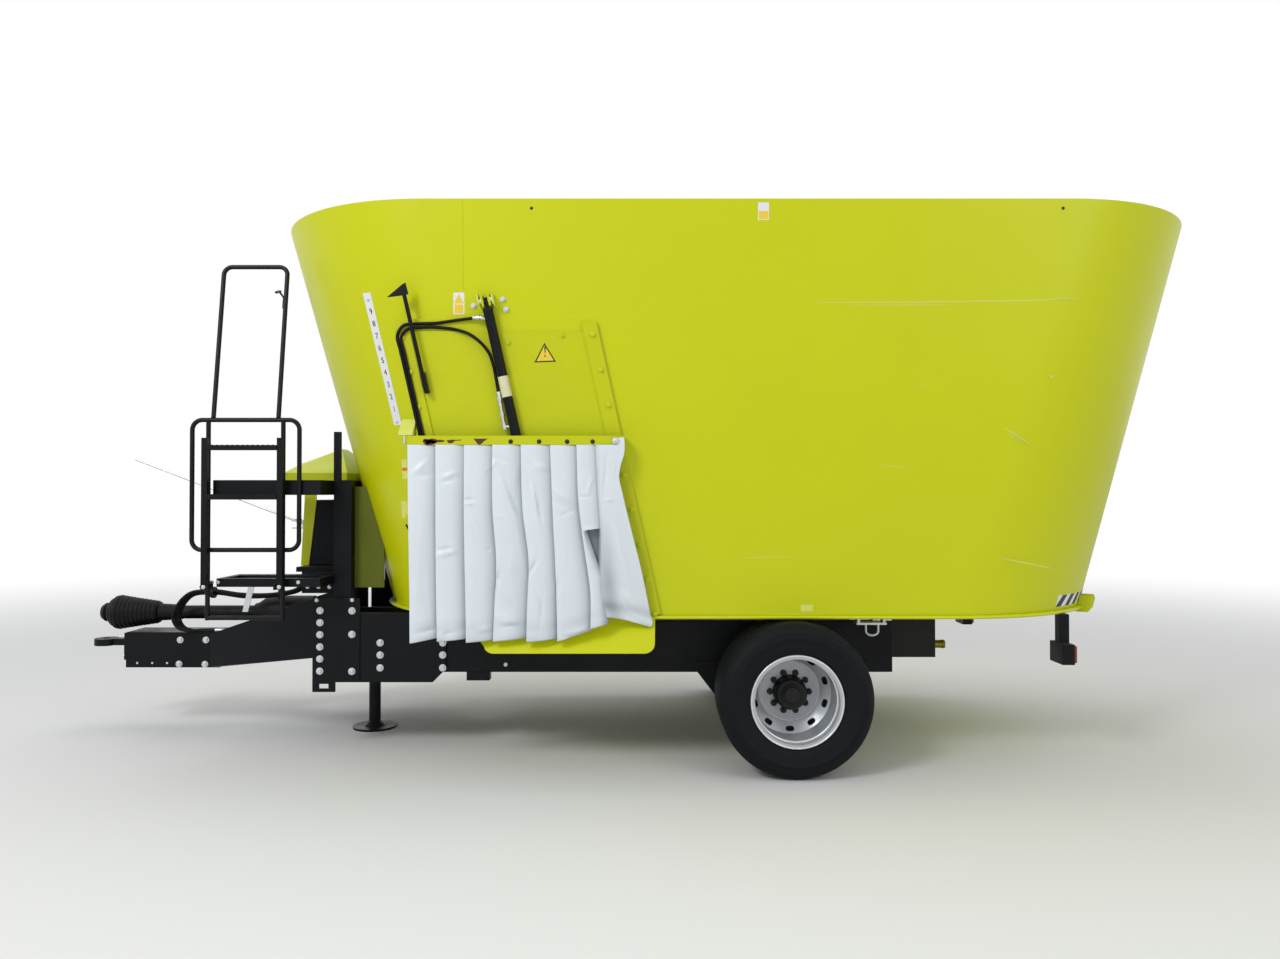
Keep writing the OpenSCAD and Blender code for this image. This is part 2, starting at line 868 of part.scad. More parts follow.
module gearboxes() {
  color(black)
    for (x = [auger_f_x, auger_r_x])
      translate([x, 0, 0]) {
        translate([-170, -170, drive_z - 280])
          cube([340, 340, floor_z - drive_z + 280]);
        translate([0, 0, floor_z - 1])
          cylinder(r = gearbox_hole_r - 5, h = auger_z - seat - floor_z + 1);
      }
}

module driveline() {
  gearboxes();
  color(steel) {
    along_drive(pto_x1)
      cylinder(r = 35, h = auger_f_x - 170 - pto_x1);
    along_drive(auger_f_x + 170)
      cylinder(r = 45, h = auger_gap - 340);
  }
}

axle_y = overall_w / 2 - 505;
module axle_beam() {
  color(black) {
    translate([wheel_x - axle_s / 2, -axle_y, wheel_z - axle_s / 2])
      cube([axle_s, 2 * axle_y, axle_s]);
    both_sides()
      translate([wheel_x, -axle_y, wheel_z])
        rotate([90, 0, 0])
          cylinder(r = 45, h = 205);
    both_sides()
      translate([wheel_x, -beam_y - beam_w / 2 - seat, 0])
        rotate([90, 0, 0])
          linear_extrude(16)
            polygon([
              [-529, beam_z0 + 70], [529, beam_z0 + 70], [529, beam_z0 + 12],
              [400, 337], [-400, 337], [-529, beam_z0 + 12]]);
  }
}

module load_cells() {
  color(steel)
    both_sides()
      for (x = [auger_f_x - 730, beam_x1 - 120])
        translate([x, -beam_y - 30, beam_z1])
          cube([120, 60, floor_z - beam_z1]);
}

lamp_x = auger_r_x + 680;
lamp_y = 870;
module rear_brackets() {
  color(black) {
    both_sides()
      translate([lamp_x, -lamp_y - 30, 660])
        cube([60, 60, floor_z - 660]);
    both_sides()
      translate([lamp_x - 6, -lamp_y - 90, 592])
        cube([72, 180, 120]);
  }
}
module rear_lamps() {
  color("#A01818")
    both_sides()
      translate([lamp_x + 66, -lamp_y - 82, 600])
        cube([14, 164, 104]);
}

module hose_holder() {
  color(steel)
    {
      translate([tank_x0 - 110, -165, 1370])
        cube([110, 30, 40]);
      rod([tank_x0 - 95, -150, 1390], [tank_x0 - 1237, -150, 1827], 8);
    }
}

// Hydraulic supply hoses, from the shelf under the tank to the top of the hitch box
supply_r = 10;
module supply_hoses() {
  color(black)
    for (i = [0 : 2]) {
      y = -118 - i * 23;
      hose(smooth([
        [tank_x0 + 20, y - 30, 1105 - supply_r - seat], [tank_x0 - 20, y - 30, 1085],
        [tank_x0 - 60, y - 30, 1030], [tank_x0 - 130, y - 20, 950 + i * 8],
        [tank_x0 - 260, y, 915 + i * 8], [tank_x0 - 508, y, 900 + i * 12],
        [tank_x0 - 720, y, 924 + i * 12], [tank_x0 - 870, y, 905 + i * 10],
        [tank_x0 - 930 - i * 12, y, 830], [tank_x0 - 950 - i * 12, y, 760],
        [tank_x0 - 925 - i * 10, y, 704], [tank_x0 - 870, y, hitch_z1 + supply_r + 4 + i],
        [tank_x0 - 800, y * 0.75, hitch_z1 + supply_r + 2 * seat],
        [tank_x0 - 700, y * 0.7, hitch_z1 + supply_r + 2 * seat]], 4),
        supply_r);
    }
}

// Wheel parts on their own axis, outwards is +Z, the outer sidewall is Z = 0
module wheel_place() {
  translate([wheel_x, -overall_w / 2, wheel_z])
    rotate([90, 0, 0])
      children();
}
shoulder = 45;
bead_r = 250;
flange_z = 29;
module tyre_form() {
  color(black)
    rotate_extrude()
      union() {
        translate([bead_r + 0.3, -tyre_w + flange_z + 10])
          square([60, tyre_w - 2 * flange_z - 20]);
        translate([rim_d / 2 + 1, -tyre_w])
          square([tyre_d / 2 - shoulder - rim_d / 2 - 1, tyre_w]);
        translate([rim_d / 2 + 1, -tyre_w + shoulder])
          square([tyre_d / 2 - rim_d / 2 - 1, tyre_w - 2 * shoulder]);
        for (z = [-shoulder, -tyre_w + shoulder])
          translate([tyre_d / 2 - shoulder, z])
            circle(r = shoulder);
      }
}
disc_z = -329;
disc_r = 181;
hand_holes = 10;
module rim_form() {
  color(steel)
    difference() {
      rotate_extrude()
        union() {
          translate([bead_r - 12, -tyre_w + flange_z])
            square([12, tyre_w - 2 * flange_z]);
          for (z = [-tyre_w + flange_z, -flange_z - 9])
            translate([bead_r - 12, z])
              square([rim_d / 2 - bead_r + 12, 9]);
          polygon([
            [98, disc_z - 12], [disc_r + 4, disc_z - 12], [bead_r - 6, disc_z + 30],
            [bead_r - 6, disc_z + 42], [disc_r, disc_z], [98, disc_z]]);
        }
      for (i = [0 : stud_count - 1])
        rotate([0, 0, i * 360 / stud_count])
          translate([stud_pcd / 2, 0, disc_z - 20])
            cylinder(r = 12, h = 40);
      for (i = [0 : hand_holes - 1])
        rotate([0, 0, (i + 0.5) * 360 / hand_holes])
          for (y = [-11, 11])
            translate([213, y, disc_z - 20])
              cylinder(r = 14, h = 70);
      for (i = [0 : hand_holes - 1])
        rotate([0, 0, (i + 0.5) * 360 / hand_holes])
          translate([199, -11, disc_z - 20])
            cube([28, 22, 70]);
    }
}
module hub_form() {
  color(black)
    difference() {
      union() {
        translate([0, 0, -470])
          cylinder(r = 165, h = disc_z - 12 + 470);
        translate([0, 0, disc_z - 12])
          cylinder(r = 93, h = 84);
        translate([0, 0, disc_z + 72])
          cylinder(r1 = 93, r2 = 80, h = 20);
        translate([0, 0, disc_z + 92])
          cylinder(r = 58, h = 16);
        for (i = [0 : stud_count - 1])
          rotate([0, 0, i * 360 / stud_count])
            translate([stud_pcd / 2, 0, disc_z - 12])
              cylinder(r = 11, h = 46);
      }
      translate([0, 0, -471])
        cylinder(r = 45.05, h = 175);
    }
}
module tyre_left() { wheel_place() tyre_form(); }
module rim_left() { wheel_place() rim_form(); }
module hub_left() { wheel_place() hub_form(); }
module tyre_right() { mirror([0, 1, 0]) wheel_place() tyre_form(); }
module rim_right() { mirror([0, 1, 0]) wheel_place() rim_form(); }
module hub_right() { mirror([0, 1, 0]) wheel_place() hub_form(); }

// Auger with a tapering flight
auger_z = wall_z + 12;
auger_h = 1760;
flight_turns = 2.4;
function flight_r(a) = mix(flight_r0, flight_r1, pow(max(0, a - 200) / (360 * flight_turns - 200), 0.9));
function flight_z(a) = auger_z + 8 + flight_pitch * a / 360;
pad_h = 10;
knife_l = 300;
// Place of knife i: on a pad of the flight, tangent to it
module on_flight(i) {
  a = 100 + i * 660 / (knife_count - 1);
  r = flight_r(a) - 110;
  rotate([0, 0, a])
    translate([r, 0, flight_z(a) + flight_t])
      rotate([atan(flight_pitch / (2 * PI * r)), 0, 0])
        children();
}
module flight() {
  steps = 60;
  d = 360 * flight_turns / steps;
  polyhedron(
    points = [for (i = [0 : steps], c = [[0, 0], [1, 0], [1, 1], [0, 1]])
      let (a = i * d, r = c[0] == 0 ? column_r - 6 : flight_r(a))
        [r * cos(a), r * sin(a), flight_z(a) + c[1] * flight_t]],
    faces = concat(
      [[3, 2, 1, 0]],
      [[for (k = [0 : 3]) 4 * steps + k]],
      [for (i = [0 : steps - 1], k = [0 : 3])
        [4 * i + k, 4 * i + (k + 1) % 4, 4 * (i + 1) + (k + 1) % 4]],
      [for (i = [0 : steps - 1], k = [0 : 3])
        [4 * i + k, 4 * (i + 1) + (k + 1) % 4, 4 * (i + 1) + k]]));
}
module auger_form() {
  color("#8A8680") {
    difference() {
      union() {
        translate([0, 0, auger_z])
          cylinder(r = column_r, h = auger_h);
        flight();
      }
      translate([0, 0, auger_z + 20])
        cylinder(r = column_r - 14, h = auger_h - 40);
    }
    for (i = [0 : knife_count - 1])
      on_flight(i)
        translate([-70, -50, -10])
          cube([150, 100, 10 + pad_h]);
  }
}
module knives_form() {
  color(steel)
    for (i = [0 : knife_count - 1])
      on_flight(i)
        translate([-70, -50, pad_h + seat])
          linear_extrude(10)
            polygon([[0, 0], [knife_l, 30], [knife_l - 60, 100], [0, 100]]);
}
module auger_front() { translate([auger_f_x, 0, 0]) auger_form(); }
module knives_front() { translate([auger_f_x, 0, 0]) knives_form(); }
module auger_rear() { translate([auger_r_x, 0, 0]) auger_form(); }
module knives_rear() { translate([auger_r_x, 0, 0]) knives_form(); }

tub_shell();
tub_floor();
door_rails();
curtain_bar();
curtain();
chute();
cylinder_barrel();
door_hoses();
scale_strip();
frame_beams();
front_plates();
gantry();
tub_brackets();
drawbar();
towing_eye();
jack_tube();
platform();
ladder_frame();
handrail();
hood_cover();
oil_tank();
pto_shaft();
pto_guard();
driveline();
axle_beam();
load_cells();
rear_brackets();
rear_lamps();
hose_holder();
supply_hoses();
tyre_left();
rim_left();
hub_left();
tyre_right();
rim_right();
hub_right();
auger_front();
knives_front();
auger_rear();
knives_rear();
door_plate();
door_pointer();
door_rod();
jack_leg();
ladder_fold();
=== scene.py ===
import json
import math

import bmesh
import bpy
import numpy as np
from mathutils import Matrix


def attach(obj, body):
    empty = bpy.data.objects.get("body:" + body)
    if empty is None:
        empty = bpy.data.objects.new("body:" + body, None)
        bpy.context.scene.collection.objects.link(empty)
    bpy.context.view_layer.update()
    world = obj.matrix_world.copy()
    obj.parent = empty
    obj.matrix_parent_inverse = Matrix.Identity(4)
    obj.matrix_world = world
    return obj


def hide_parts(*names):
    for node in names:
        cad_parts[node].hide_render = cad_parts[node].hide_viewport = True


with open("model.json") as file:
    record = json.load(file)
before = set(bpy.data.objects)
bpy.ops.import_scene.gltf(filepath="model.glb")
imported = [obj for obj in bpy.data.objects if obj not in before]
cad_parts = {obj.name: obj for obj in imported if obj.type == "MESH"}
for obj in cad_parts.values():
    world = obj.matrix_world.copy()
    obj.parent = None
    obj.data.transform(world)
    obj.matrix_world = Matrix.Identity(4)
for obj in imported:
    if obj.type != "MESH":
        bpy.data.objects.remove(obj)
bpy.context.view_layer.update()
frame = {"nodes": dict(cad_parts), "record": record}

MM = 0.001

# Camera, where the photograph was taken from

camera = bpy.data.objects.new("camera", bpy.data.cameras.new("camera"))
bpy.context.scene.collection.objects.link(camera)
camera.location = (0.129, -6.6, 1.6)
camera.rotation_euler = (math.radians(90.805), 0, 0)
camera.data.lens = 27.03
camera.data.sensor_width = 36
bpy.context.scene.camera = camera
bpy.context.scene.view_settings.view_transform = "Standard"


# Meshes. A part is (points in mm, list of face arrays)

def circle(count):
    """Angles of count even steps round a circle."""
    return np.linspace(0, 2 * np.pi, count, endpoint=False)


def unit(rows):
    """Each row divided by its length."""
    return rows / np.linalg.norm(rows, axis=1)[:, None]


def direction(ahead):
    """The direction at unit length, and a second one well away from it: upright, or else along x."""
    ahead = np.array(ahead, float)
    ahead /= np.linalg.norm(ahead)
    ref = np.array([0, 0, 1.0]) if abs(ahead[2]) < 0.9 else np.array([1.0, 0, 0])
    return ahead, ref


def ramp(value, start, length):
    """Rises from 0 at start to 1 after length, level outside."""
    return np.clip((value - start) / length, 0, 1)


def bell(value, middle, wide):
    """Bell curve: e to the minus square of the distance from the middle in widths."""
    return np.exp(-((value - middle) / wide) ** 2)


def mesh_object(name, part):
    """A new object with the part as its mesh, in metres."""
    points, faces = part
    mesh = bpy.data.meshes.new(name)
    mesh.from_pydata((points * MM).tolist(), [], [row for f in faces for row in f.tolist()])
    obj = bpy.data.objects.new(name, mesh)
    bpy.context.scene.collection.objects.link(obj)
    return obj


def grid(points, close_rows=False, close_cols=False, flip=False):
    """Part from a rows x cols x 3 array: a quad between each four neighbours, round to the start where closed."""
    rows, cols = points.shape[:2]
    i, j = np.meshgrid(np.arange(rows - (not close_rows)), np.arange(cols - (not close_cols)), indexing="ij")
    i2, j2 = (i + 1) % rows, (j + 1) % cols
    quads = np.stack([i * cols + j, i2 * cols + j, i2 * cols + j2, i * cols + j2], -1).reshape(-1, 4)
    if flip:
        quads = quads[:, ::-1]
    return points.reshape(-1, 3), [quads]


def joined(parts):
    """One part from several: their points in a row, their faces counted on from the points before."""
    starts = np.cumsum([0] + [len(p) for p, _ in parts])
    return np.concatenate([p for p, _ in parts]), [f + s for (_, faces), s in zip(parts, starts) for f in faces]


def capped(points, flip=False):
    """Tube part from a rings x sides x 3 array, its first and last ring closed by one face each."""
    rings, sides = points.shape[:2]
    p, faces = grid(points, close_cols=True, flip=flip)
    ends = [np.arange(sides)[None, ::1], (rings - 1) * sides + np.arange(sides)[None, ::-1]]
    return p, faces + [e[:, ::-1] if flip else e for e in ends]


def lathe(profile, sides, centre, along="y", closed=False, flip=False):
    """Part of a profile of (radius, height) pairs turned about an axis through centre, along "x", "y" or "z"; a closed
    profile makes a ring, an open one gets an end face on each side."""
    profile = np.array(profile, float)
    a = circle(sides)
    r, h = profile[:, 0][:, None], profile[:, 1][:, None]
    u, v, w = r * np.cos(a), r * np.sin(a), h + 0 * a
    order = {"x": (w, u, v), "y": (v, w, u), "z": (u, v, w)}[along]
    points = np.stack(order, -1) + np.array(centre, float)
    if closed:
        return grid(points, close_rows=True, close_cols=True, flip=flip)
    return capped(points, flip=flip)


def smooth_path(knots, count):
    """Curve through the knots: each coordinate a cubic between neighbours with their mean slope, at count points."""
    k = np.array(knots, float)
    step = np.linalg.norm(np.diff(k, axis=0), axis=1)
    at = np.concatenate([[0], np.cumsum(step)])
    slope = np.gradient(k, at, axis=0)
    s = np.linspace(0, at[-1], count)
    i = np.clip(np.searchsorted(at, s, side="right") - 1, 0, len(k) - 2)
    h = (at[i + 1] - at[i])[:, None]
    u = ((s - at[i])[:, None]) / h
    return ((2 * u ** 3 - 3 * u ** 2 + 1) * k[i] + (u ** 3 - 2 * u ** 2 + u) * h * slope[i]
            + (3 * u ** 2 - 2 * u ** 3) * k[i + 1] + (u ** 3 - u ** 2) * h * slope[i + 1])


def tube(path, radius, sides=12):
    """Circle of that radius carried along the path, square to it, with the frame kept upright where it can be."""
    path = np.array(path, float)
    ahead = unit(np.gradient(path, axis=0))
    ref = np.where(np.abs(ahead[:, 2:]).max() > 0.95, [[0.0, 1.0, 0.0]], [[0.0, 0.0, 1.0]])
    side = unit(np.cross(ahead, ref))
    up = np.cross(side, ahead)
    a = circle(sides)
    r = np.broadcast_to(np.asarray(radius, float), (len(path),))[:, None, None]
    ring = side[:, None] * np.cos(a)[:, None] + up[:, None] * np.sin(a)[:, None]
    return capped(path[:, None] + ring * r)


def stepped(start, end, rows, sides=16):
    """Straight turned part from start to end; rows give (share of the way, radius), with sharp steps kept."""
    start, end = np.array(start, float), np.array(end, float)
    ahead, ref = direction(end - start)
    side = np.cross(ahead, ref)
    side /= np.linalg.norm(side)
    up = np.cross(side, ahead)
    a = circle(sides)[None, :, None]
    share, r = np.array(rows, float).T[:, :, None, None]
    return capped(start + (end - start) * share + r * (side * np.cos(a) + up * np.sin(a)))


def plate(outline, lo, hi, place):
    """Outline of (a, b) pairs between the heights lo and hi, put in space by place(a, b, height)."""
    o = np.array(outline, float)
    if np.sum(o[:, 0] * np.roll(o[:, 1], -1) - np.roll(o[:, 0], -1) * o[:, 1]) < 0:
        o = o[::-1]
    return capped(np.stack([place(o[:, 0], o[:, 1], h + 0 * o[:, 0]) for h in (lo, hi)]), flip=True)


def blocks(rows):
    """Boxes from rows of (x0, x1, y0, y1, z0, z1)."""
    corner = np.array([[0, 2, 4], [1, 2, 4], [1, 3, 4], [0, 3, 4], [0, 2, 5], [1, 2, 5], [1, 3, 5], [0, 3, 5]])
    faces = np.array([[3, 2, 1, 0], [4, 5, 6, 7], [0, 1, 5, 4], [1, 2, 6, 5], [2, 3, 7, 6], [3, 0, 4, 7]])
    r = np.array(rows, float)
    count = len(r)
    return r[:, corner].reshape(-1, 3), [(faces + 8 * np.arange(count)[:, None, None]).reshape(-1, 4)]


def studs(places, out, across, height, washer=1.25):
    """Hexagon heads on round washers at the places, standing along out: a twelve-sided washer, then six flats."""
    places = np.array(places, float).reshape(-1, 3)
    out, ref = direction(out)
    u = np.cross(ref, out)
    u /= np.linalg.norm(u)
    v = np.cross(out, u)
    r = across / 2 / math.cos(math.pi / 6)
    a = np.arange(12) * np.pi / 6
    hexagon = r * np.where(np.arange(12) % 2, math.cos(math.pi / 6), 1)
    rings = [(r * washer, -0.5), (r * washer, height * 0.25), (hexagon, height * 0.25), (hexagon, height * 0.9),
             (hexagon * 0.85, height)]
    wide = [(np.broadcast_to(radius, 12)[:, None], h) for radius, h in rings]
    form = np.concatenate([np.cos(a)[:, None] * rr * u + np.sin(a)[:, None] * rr * v + h * out for rr, h in wide])
    base, faces = capped(form.reshape(len(rings), 12, 3), flip=True)
    shift = len(base) * np.arange(len(places))
    return ((places[:, None] + base).reshape(-1, 3),
            [(f + shift[:, None, None]).reshape(-1, f.shape[1]) for f in faces])


def mirrored(part):
    """The part and its copy on the other side of the centre plane."""
    points, faces = part
    return joined([part, (points * [1, -1, 1], [f[:, ::-1] for f in faces])])


def piece(name, part, material, body="root", instead_of=(), bevel=0.0, smooth=True):
    """Puts a part into the scene as an object, in its body and finish; it may stand for CAD nodes."""
    obj = mesh_object(name, joined(part) if isinstance(part, list) else part)
    obj.data.validate()
    obj.data.materials.append(material)
    if smooth:
        add_smoothing(obj)
    if bevel:
        add_bevel(obj, bevel)
    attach(obj, body)
    if instead_of:
        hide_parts(*instead_of)
    return obj


def soft_edges():
    """Modifier group: joins doubled points, then shades smooth except over edges sharper than 32 degrees."""
    group = bpy.data.node_groups.new("soft_edges", "GeometryNodeTree")
    group.interface.new_socket("Geometry", in_out="INPUT", socket_type="NodeSocketGeometry")
    group.interface.new_socket("Geometry", in_out="OUTPUT", socket_type="NodeSocketGeometry")
    start = add(group, "NodeGroupInput")
    merged = add(group, "GeometryNodeMergeByDistance", {"Geometry": start, "Distance": 0.00004})
    angle = add(group, "GeometryNodeInputMeshEdgeAngle")
    sharp = add(group, "FunctionNodeCompare", {0: angle.outputs["Unsigned Angle"], 1: math.radians(32)},
                operation="GREATER_THAN")
    faces = add(group, "GeometryNodeSetShadeSmooth", {"Geometry": merged, "Shade Smooth": True})
    edges = add(group, "GeometryNodeSetShadeSmooth",
                {"Geometry": faces, "Selection": sharp, "Shade Smooth": False}, domain="EDGE")
    add(group, "NodeGroupOutput", {0: edges})
    return group


def add(tree, kind, inputs=None, **settings):
    """Adds a node with its settings; an input is a value, or another node or its output to link. In a shader tree the
    kind goes without its ShaderNode prefix."""
    made = tree.nodes.new(("ShaderNode" if tree.type == "SHADER" else "") + kind)
    for key, value in settings.items():
        setattr(made, key, value)
    for key, value in (inputs or {}).items():
        if isinstance(value, bpy.types.Node):
            value = value.outputs[0]
        if isinstance(value, bpy.types.NodeSocket):
            tree.links.new(value, made.inputs[key])
        else:
            made.inputs[key].default_value = value
    return made


SOFT_EDGES = soft_edges()


def add_smoothing(obj):
    """Hangs the soft_edges group on an object."""
    modifier = obj.modifiers.new("soft_edges", "NODES")
    modifier.node_group = SOFT_EDGES


def add_bevel(obj, width_mm):
    """Breaks edges sharper than 40 degrees with a small two-step bevel."""
    modifier = obj.modifiers.new("broken_edge", "BEVEL")
    modifier.width = width_mm * MM
    modifier.segments = 2
    modifier.limit_method = "ANGLE"
    modifier.angle_limit = math.radians(40)
    modifier.harden_normals = True


# Finishes

def linear(code):
    """Linear colour of an sRGB hex code: below 0.04045 a twelfth, above it the 2.4 power."""
    rgb = [int(code[i:i + 2], 16) / 255 for i in (1, 3, 5)]
    return [c / 12.92 if c <= 0.04045 else ((c + 0.055) / 1.055) ** 2.4 for c in rgb] + [1.0]


def finish_of(name, main, other, patch_mm, rough, spread, grain_mm, depth_mm, metallic=0.0, ior=1.5, coat=0.0,
              dust=None):
    """A finish with two close colours in patches of patch_mm, roughness that wanders by spread, and a grain of
    grain_mm that stands depth_mm high; dust is a pale colour that lies on what faces up."""
    material = bpy.data.materials.new(name)
    material.use_nodes = True
    tree = material.node_tree
    shader = tree.nodes["Principled BSDF"]
    place = add(tree, "TexCoord").outputs["Object"]
    patch = add(tree, "TexNoise", {"Vector": place, "Scale": 1000 / patch_mm, "Detail": 4.0, "Roughness": 0.6})
    colour = add(tree, "Mix", {0: patch.outputs["Fac"], 6: linear(main), 7: linear(other)}, data_type="RGBA")
    colour_out = colour.outputs[2]
    if dust:
        up = add(tree, "SeparateXYZ", {0: add(tree, "NewGeometry").outputs["Normal"]}).outputs["Z"]
        lie = add(tree, "MapRange", {"Value": up, "From Min": 0.5, "From Max": 1.0, "To Max": 0.55})
        veil = add(tree, "Math", {0: lie, 1: patch.outputs["Fac"]}, operation="MULTIPLY")
        colour_out = add(tree, "Mix", {0: veil, 6: colour_out, 7: linear(dust)},
                         data_type="RGBA").outputs[2]
    tree.links.new(colour_out, shader.inputs["Base Color"])
    wander = add(tree, "MapRange", {"Value": patch.outputs["Fac"], "From Min": 0.3, "From Max": 0.7,
                                              "To Min": rough - spread, "To Max": rough + spread})
    tree.links.new(wander.outputs[0], shader.inputs["Roughness"])
    if depth_mm:
        grain = add(tree, "TexNoise", {"Vector": place, "Scale": 1000 / grain_mm, "Detail": 3.0})
        bump = add(tree, "Bump", {"Height": grain.outputs["Fac"], "Distance": depth_mm * MM, "Strength": 1.0})
        tree.links.new(bump.outputs[0], shader.inputs["Normal"])
    shader.inputs["Metallic"].default_value = metallic
    if not metallic:
        shader.inputs["IOR"].default_value = ior
    if coat:
        shader.inputs["Coat Weight"].default_value = coat
        shader.inputs["Coat Roughness"].default_value = 0.12
    return material


# Baked two-pack enamel on steel plate: even, bright, with a faint orange peel
tub_enamel = finish_of("tub_enamel", "#CED500", "#C7CD00", 900, 0.36, 0.04, 6, 0.02, ior=1.4)
# The same enamel where fodder has rubbed it: duller, a shade browner
door_enamel = finish_of("door_enamel", "#CAD102", "#C0C604", 160, 0.42, 0.08, 5, 0.03, ior=1.4)
# Black chassis paint over blasted steel: satin, greyed by road dust on top
chassis_paint = finish_of("chassis_paint", "#090B10", "#0F1217", 220, 0.42, 0.1, 3, 0.04, ior=1.26,
                          dust="#4A4843")
# Black powder coat on tube
tube_coat = finish_of("tube_powder_coat", "#0B0D11", "#121418", 120, 0.38, 0.06, 2, 0.02, ior=1.3)
# Woven polyester coated with white PVC: soft sheen; painted shade greys it in the folds
curtain_cloth = finish_of("coated_tarpaulin", "#E4ECF3", "#DAE2EA", 260, 0.42, 0.05, 2.2, 0.05)
# Black nitrile hose cover: matt, fine cloth print
hose_rubber = finish_of("hose_rubber", "#0A0A0C", "#111113", 40, 0.55, 0.06, 1.5, 0.05, ior=1.28)
# Polyethylene guard: matt black with the faint haze of a moulding
guard_poly = finish_of("guard_polyethylene", "#0A0A0C", "#111113", 60, 0.5, 0.07, 2, 0.05, ior=1.28)
# Hot-dip zinc on bolts and brackets: pale, half dull
zinc = finish_of("hot_dip_zinc", "#DDE0E2", "#C4C8CB", 12, 0.42, 0.1, 2, 0.03, metallic=1.0)
# Worn steel polished by fodder: brownish bright, brushed round by use
worn_steel = finish_of("fodder_worn_steel", "#8F8A80", "#6F675C", 90, 0.38, 0.12, 4, 0.08, metallic=1.0)
# Ground chrome rod
chrome = finish_of("ground_chrome", "#D5D7DA", "#C9CCD0", 30, 0.12, 0.03, 1, 0.004, metallic=1.0)
# Tyre rubber with road dust in its pores
tyre_rubber = finish_of("tyre_rubber", "#0A0D12", "#12161B", 70, 0.68, 0.08, 2, 0.08, ior=1.26)
# Rim flange, rubbed bright
rim_edge = finish_of("rubbed_rim_edge", "#E4E6E8", "#D8DBDE", 120, 0.3, 0.04, 2, 0.005, metallic=0.4)
# Silver wheel lacquer over pressed steel
wheel_silver = finish_of("wheel_silver_lacquer", "#BCC0C5", "#AEB2B7", 60, 0.36, 0.07, 2, 0.03,
                         metallic=0.35)
# Painted grey cast iron: black, with the sand skin of the mould
cast_iron = finish_of("painted_cast_iron", "#0D0E10", "#17181A", 40, 0.5, 0.08, 4, 0.25, ior=1.38)
# Clear red lamp lens
lamp_red = finish_of("red_lens", "#8E1414", "#7A0F0F", 30, 0.18, 0.03, 8, 0.2, coat=0.5)
# White enamelled scale plate and stickers
white_plate = finish_of("white_enamel_plate", "#ECEDEE", "#E2E4E6", 80, 0.32, 0.04, 3, 0.01)
scale_black = finish_of("black_print", "#16171A", "#1B1C20", 40, 0.4, 0.04, 3, 0.005)
sign_yellow = finish_of("yellow_film", "#F2D23C", "#EBC932", 60, 0.3, 0.04, 3, 0.005)
label_orange = finish_of("orange_film", "#E8781E", "#DE6F1A", 60, 0.3, 0.04, 3, 0.005)
# Paper label under clear film, yellowed
pale_label = finish_of("yellowed_label", "#E6E3C2", "#D6D1A6", 40, 0.5, 0.05, 3, 0.01)
# Paler lemon enamel of the bar's bracket and the clevis
pale_enamel = finish_of("lemon_enamel", "#E2E878", "#D8DE62", 60, 0.4, 0.05, 4, 0.02, ior=1.4)
# Fresher yellow of the hood and of the lip's edge
hood_enamel = finish_of("hood_enamel", "#D6DF28", "#CCD51E", 300, 0.38, 0.05, 5, 0.02, ior=1.4)
# Dusty yellow of the tub's brackets, with painted shade behind the columns
dusty_and_shaded_enamel = finish_of("dusty_and_shaded_enamel", "#C9D200", "#BAC204", 120, 0.45, 0.08, 5, 0.03, ior=1.35)
# Painted highlight: a grey line along an edge of the black chassis paint
edge_highlight_paint = finish_of("frame_edge_painted_highlight", "#3A3D42", "#26292D", 60, 0.4, 0.08, 3, 0.03, ior=1.4)
# Blackened bolts
black_steel = finish_of("blackened_steel", "#26221C", "#3A342A", 8, 0.45, 0.08, 2, 0.02, metallic=0.6)
# Red-brown tape that has dried on and torn
tape_brown = finish_of("torn_tape", "#5E1C1A", "#43231A", 14, 0.6, 0.08, 3, 0.1)
# Paint scratched to its pale undercoat
bare_scratch = finish_of("scratched_enamel", "#DDE08C", "#CFCF74", 40, 0.5, 0.05, 3, 0.02)
# Phosphated wheel nuts: dark grey, a little oily
nut_steel = finish_of("phosphated_steel", "#4A4C4E", "#3A3C3F", 10, 0.4, 0.06, 2, 0.03, metallic=0.7)
# Painted shade: dark olive rings round the feet of the bolt heads
bolt_foot_shade = finish_of("painted_bolt_foot_shade", "#6E7010", "#565812", 10, 0.7, 0.05, 3, 0.05)
# Amber lamp lens
lamp_orange = finish_of("amber_lens", "#D9701C", "#C9641A", 30, 0.18, 0.03, 8, 0.2, coat=0.5)
# Turned brass
brass = finish_of("turned_brass", "#9A8A3C", "#857632", 12, 0.35, 0.06, 2, 0.02, metallic=1.0)


def veiled(material, colour, amount):
    """Mixes a second colour into a finish by an amount that a node gives."""
    tree = material.node_tree
    socket = tree.nodes["Principled BSDF"].inputs["Base Color"]
    clean = socket.links[0].from_socket
    tree.links.new(add(tree, "Mix", {0: amount, 6: clean, 7: linear(colour)}, data_type="RGBA").outputs[2], socket)


# Painted shade greys the curtain in its folds, its hollow and the strip hidden behind the seventh pleat; dirt greys the
# pleats' foot, and the wide pleat is darker just above its hem. All of it rides on an attribute that the pieces carry
cloth_shade_and_soil = add(curtain_cloth.node_tree, "Attribute", attribute_name="shade_and_soil").outputs["Fac"]
cloth_shade_and_soil = add(curtain_cloth.node_tree, "Math", {0: cloth_shade_and_soil, 1: 0.6}, operation="MULTIPLY", use_clamp=True)
veiled(curtain_cloth, "#757C84", cloth_shade_and_soil)
# Painted shade: the brackets are darkened behind the columns, from 1.80 to 1.74 m ahead of the origin
bracket_tree = dusty_and_shaded_enamel.node_tree
bracket_x = add(bracket_tree, "SeparateXYZ", {0: add(bracket_tree, "TexCoord").outputs["Object"]}).outputs["X"]
behind = add(bracket_tree, "MapRange", {"Value": bracket_x, "From Min": -1.8, "From Max": -1.74})
veiled(dusty_and_shaded_enamel, "#5E640A", behind)

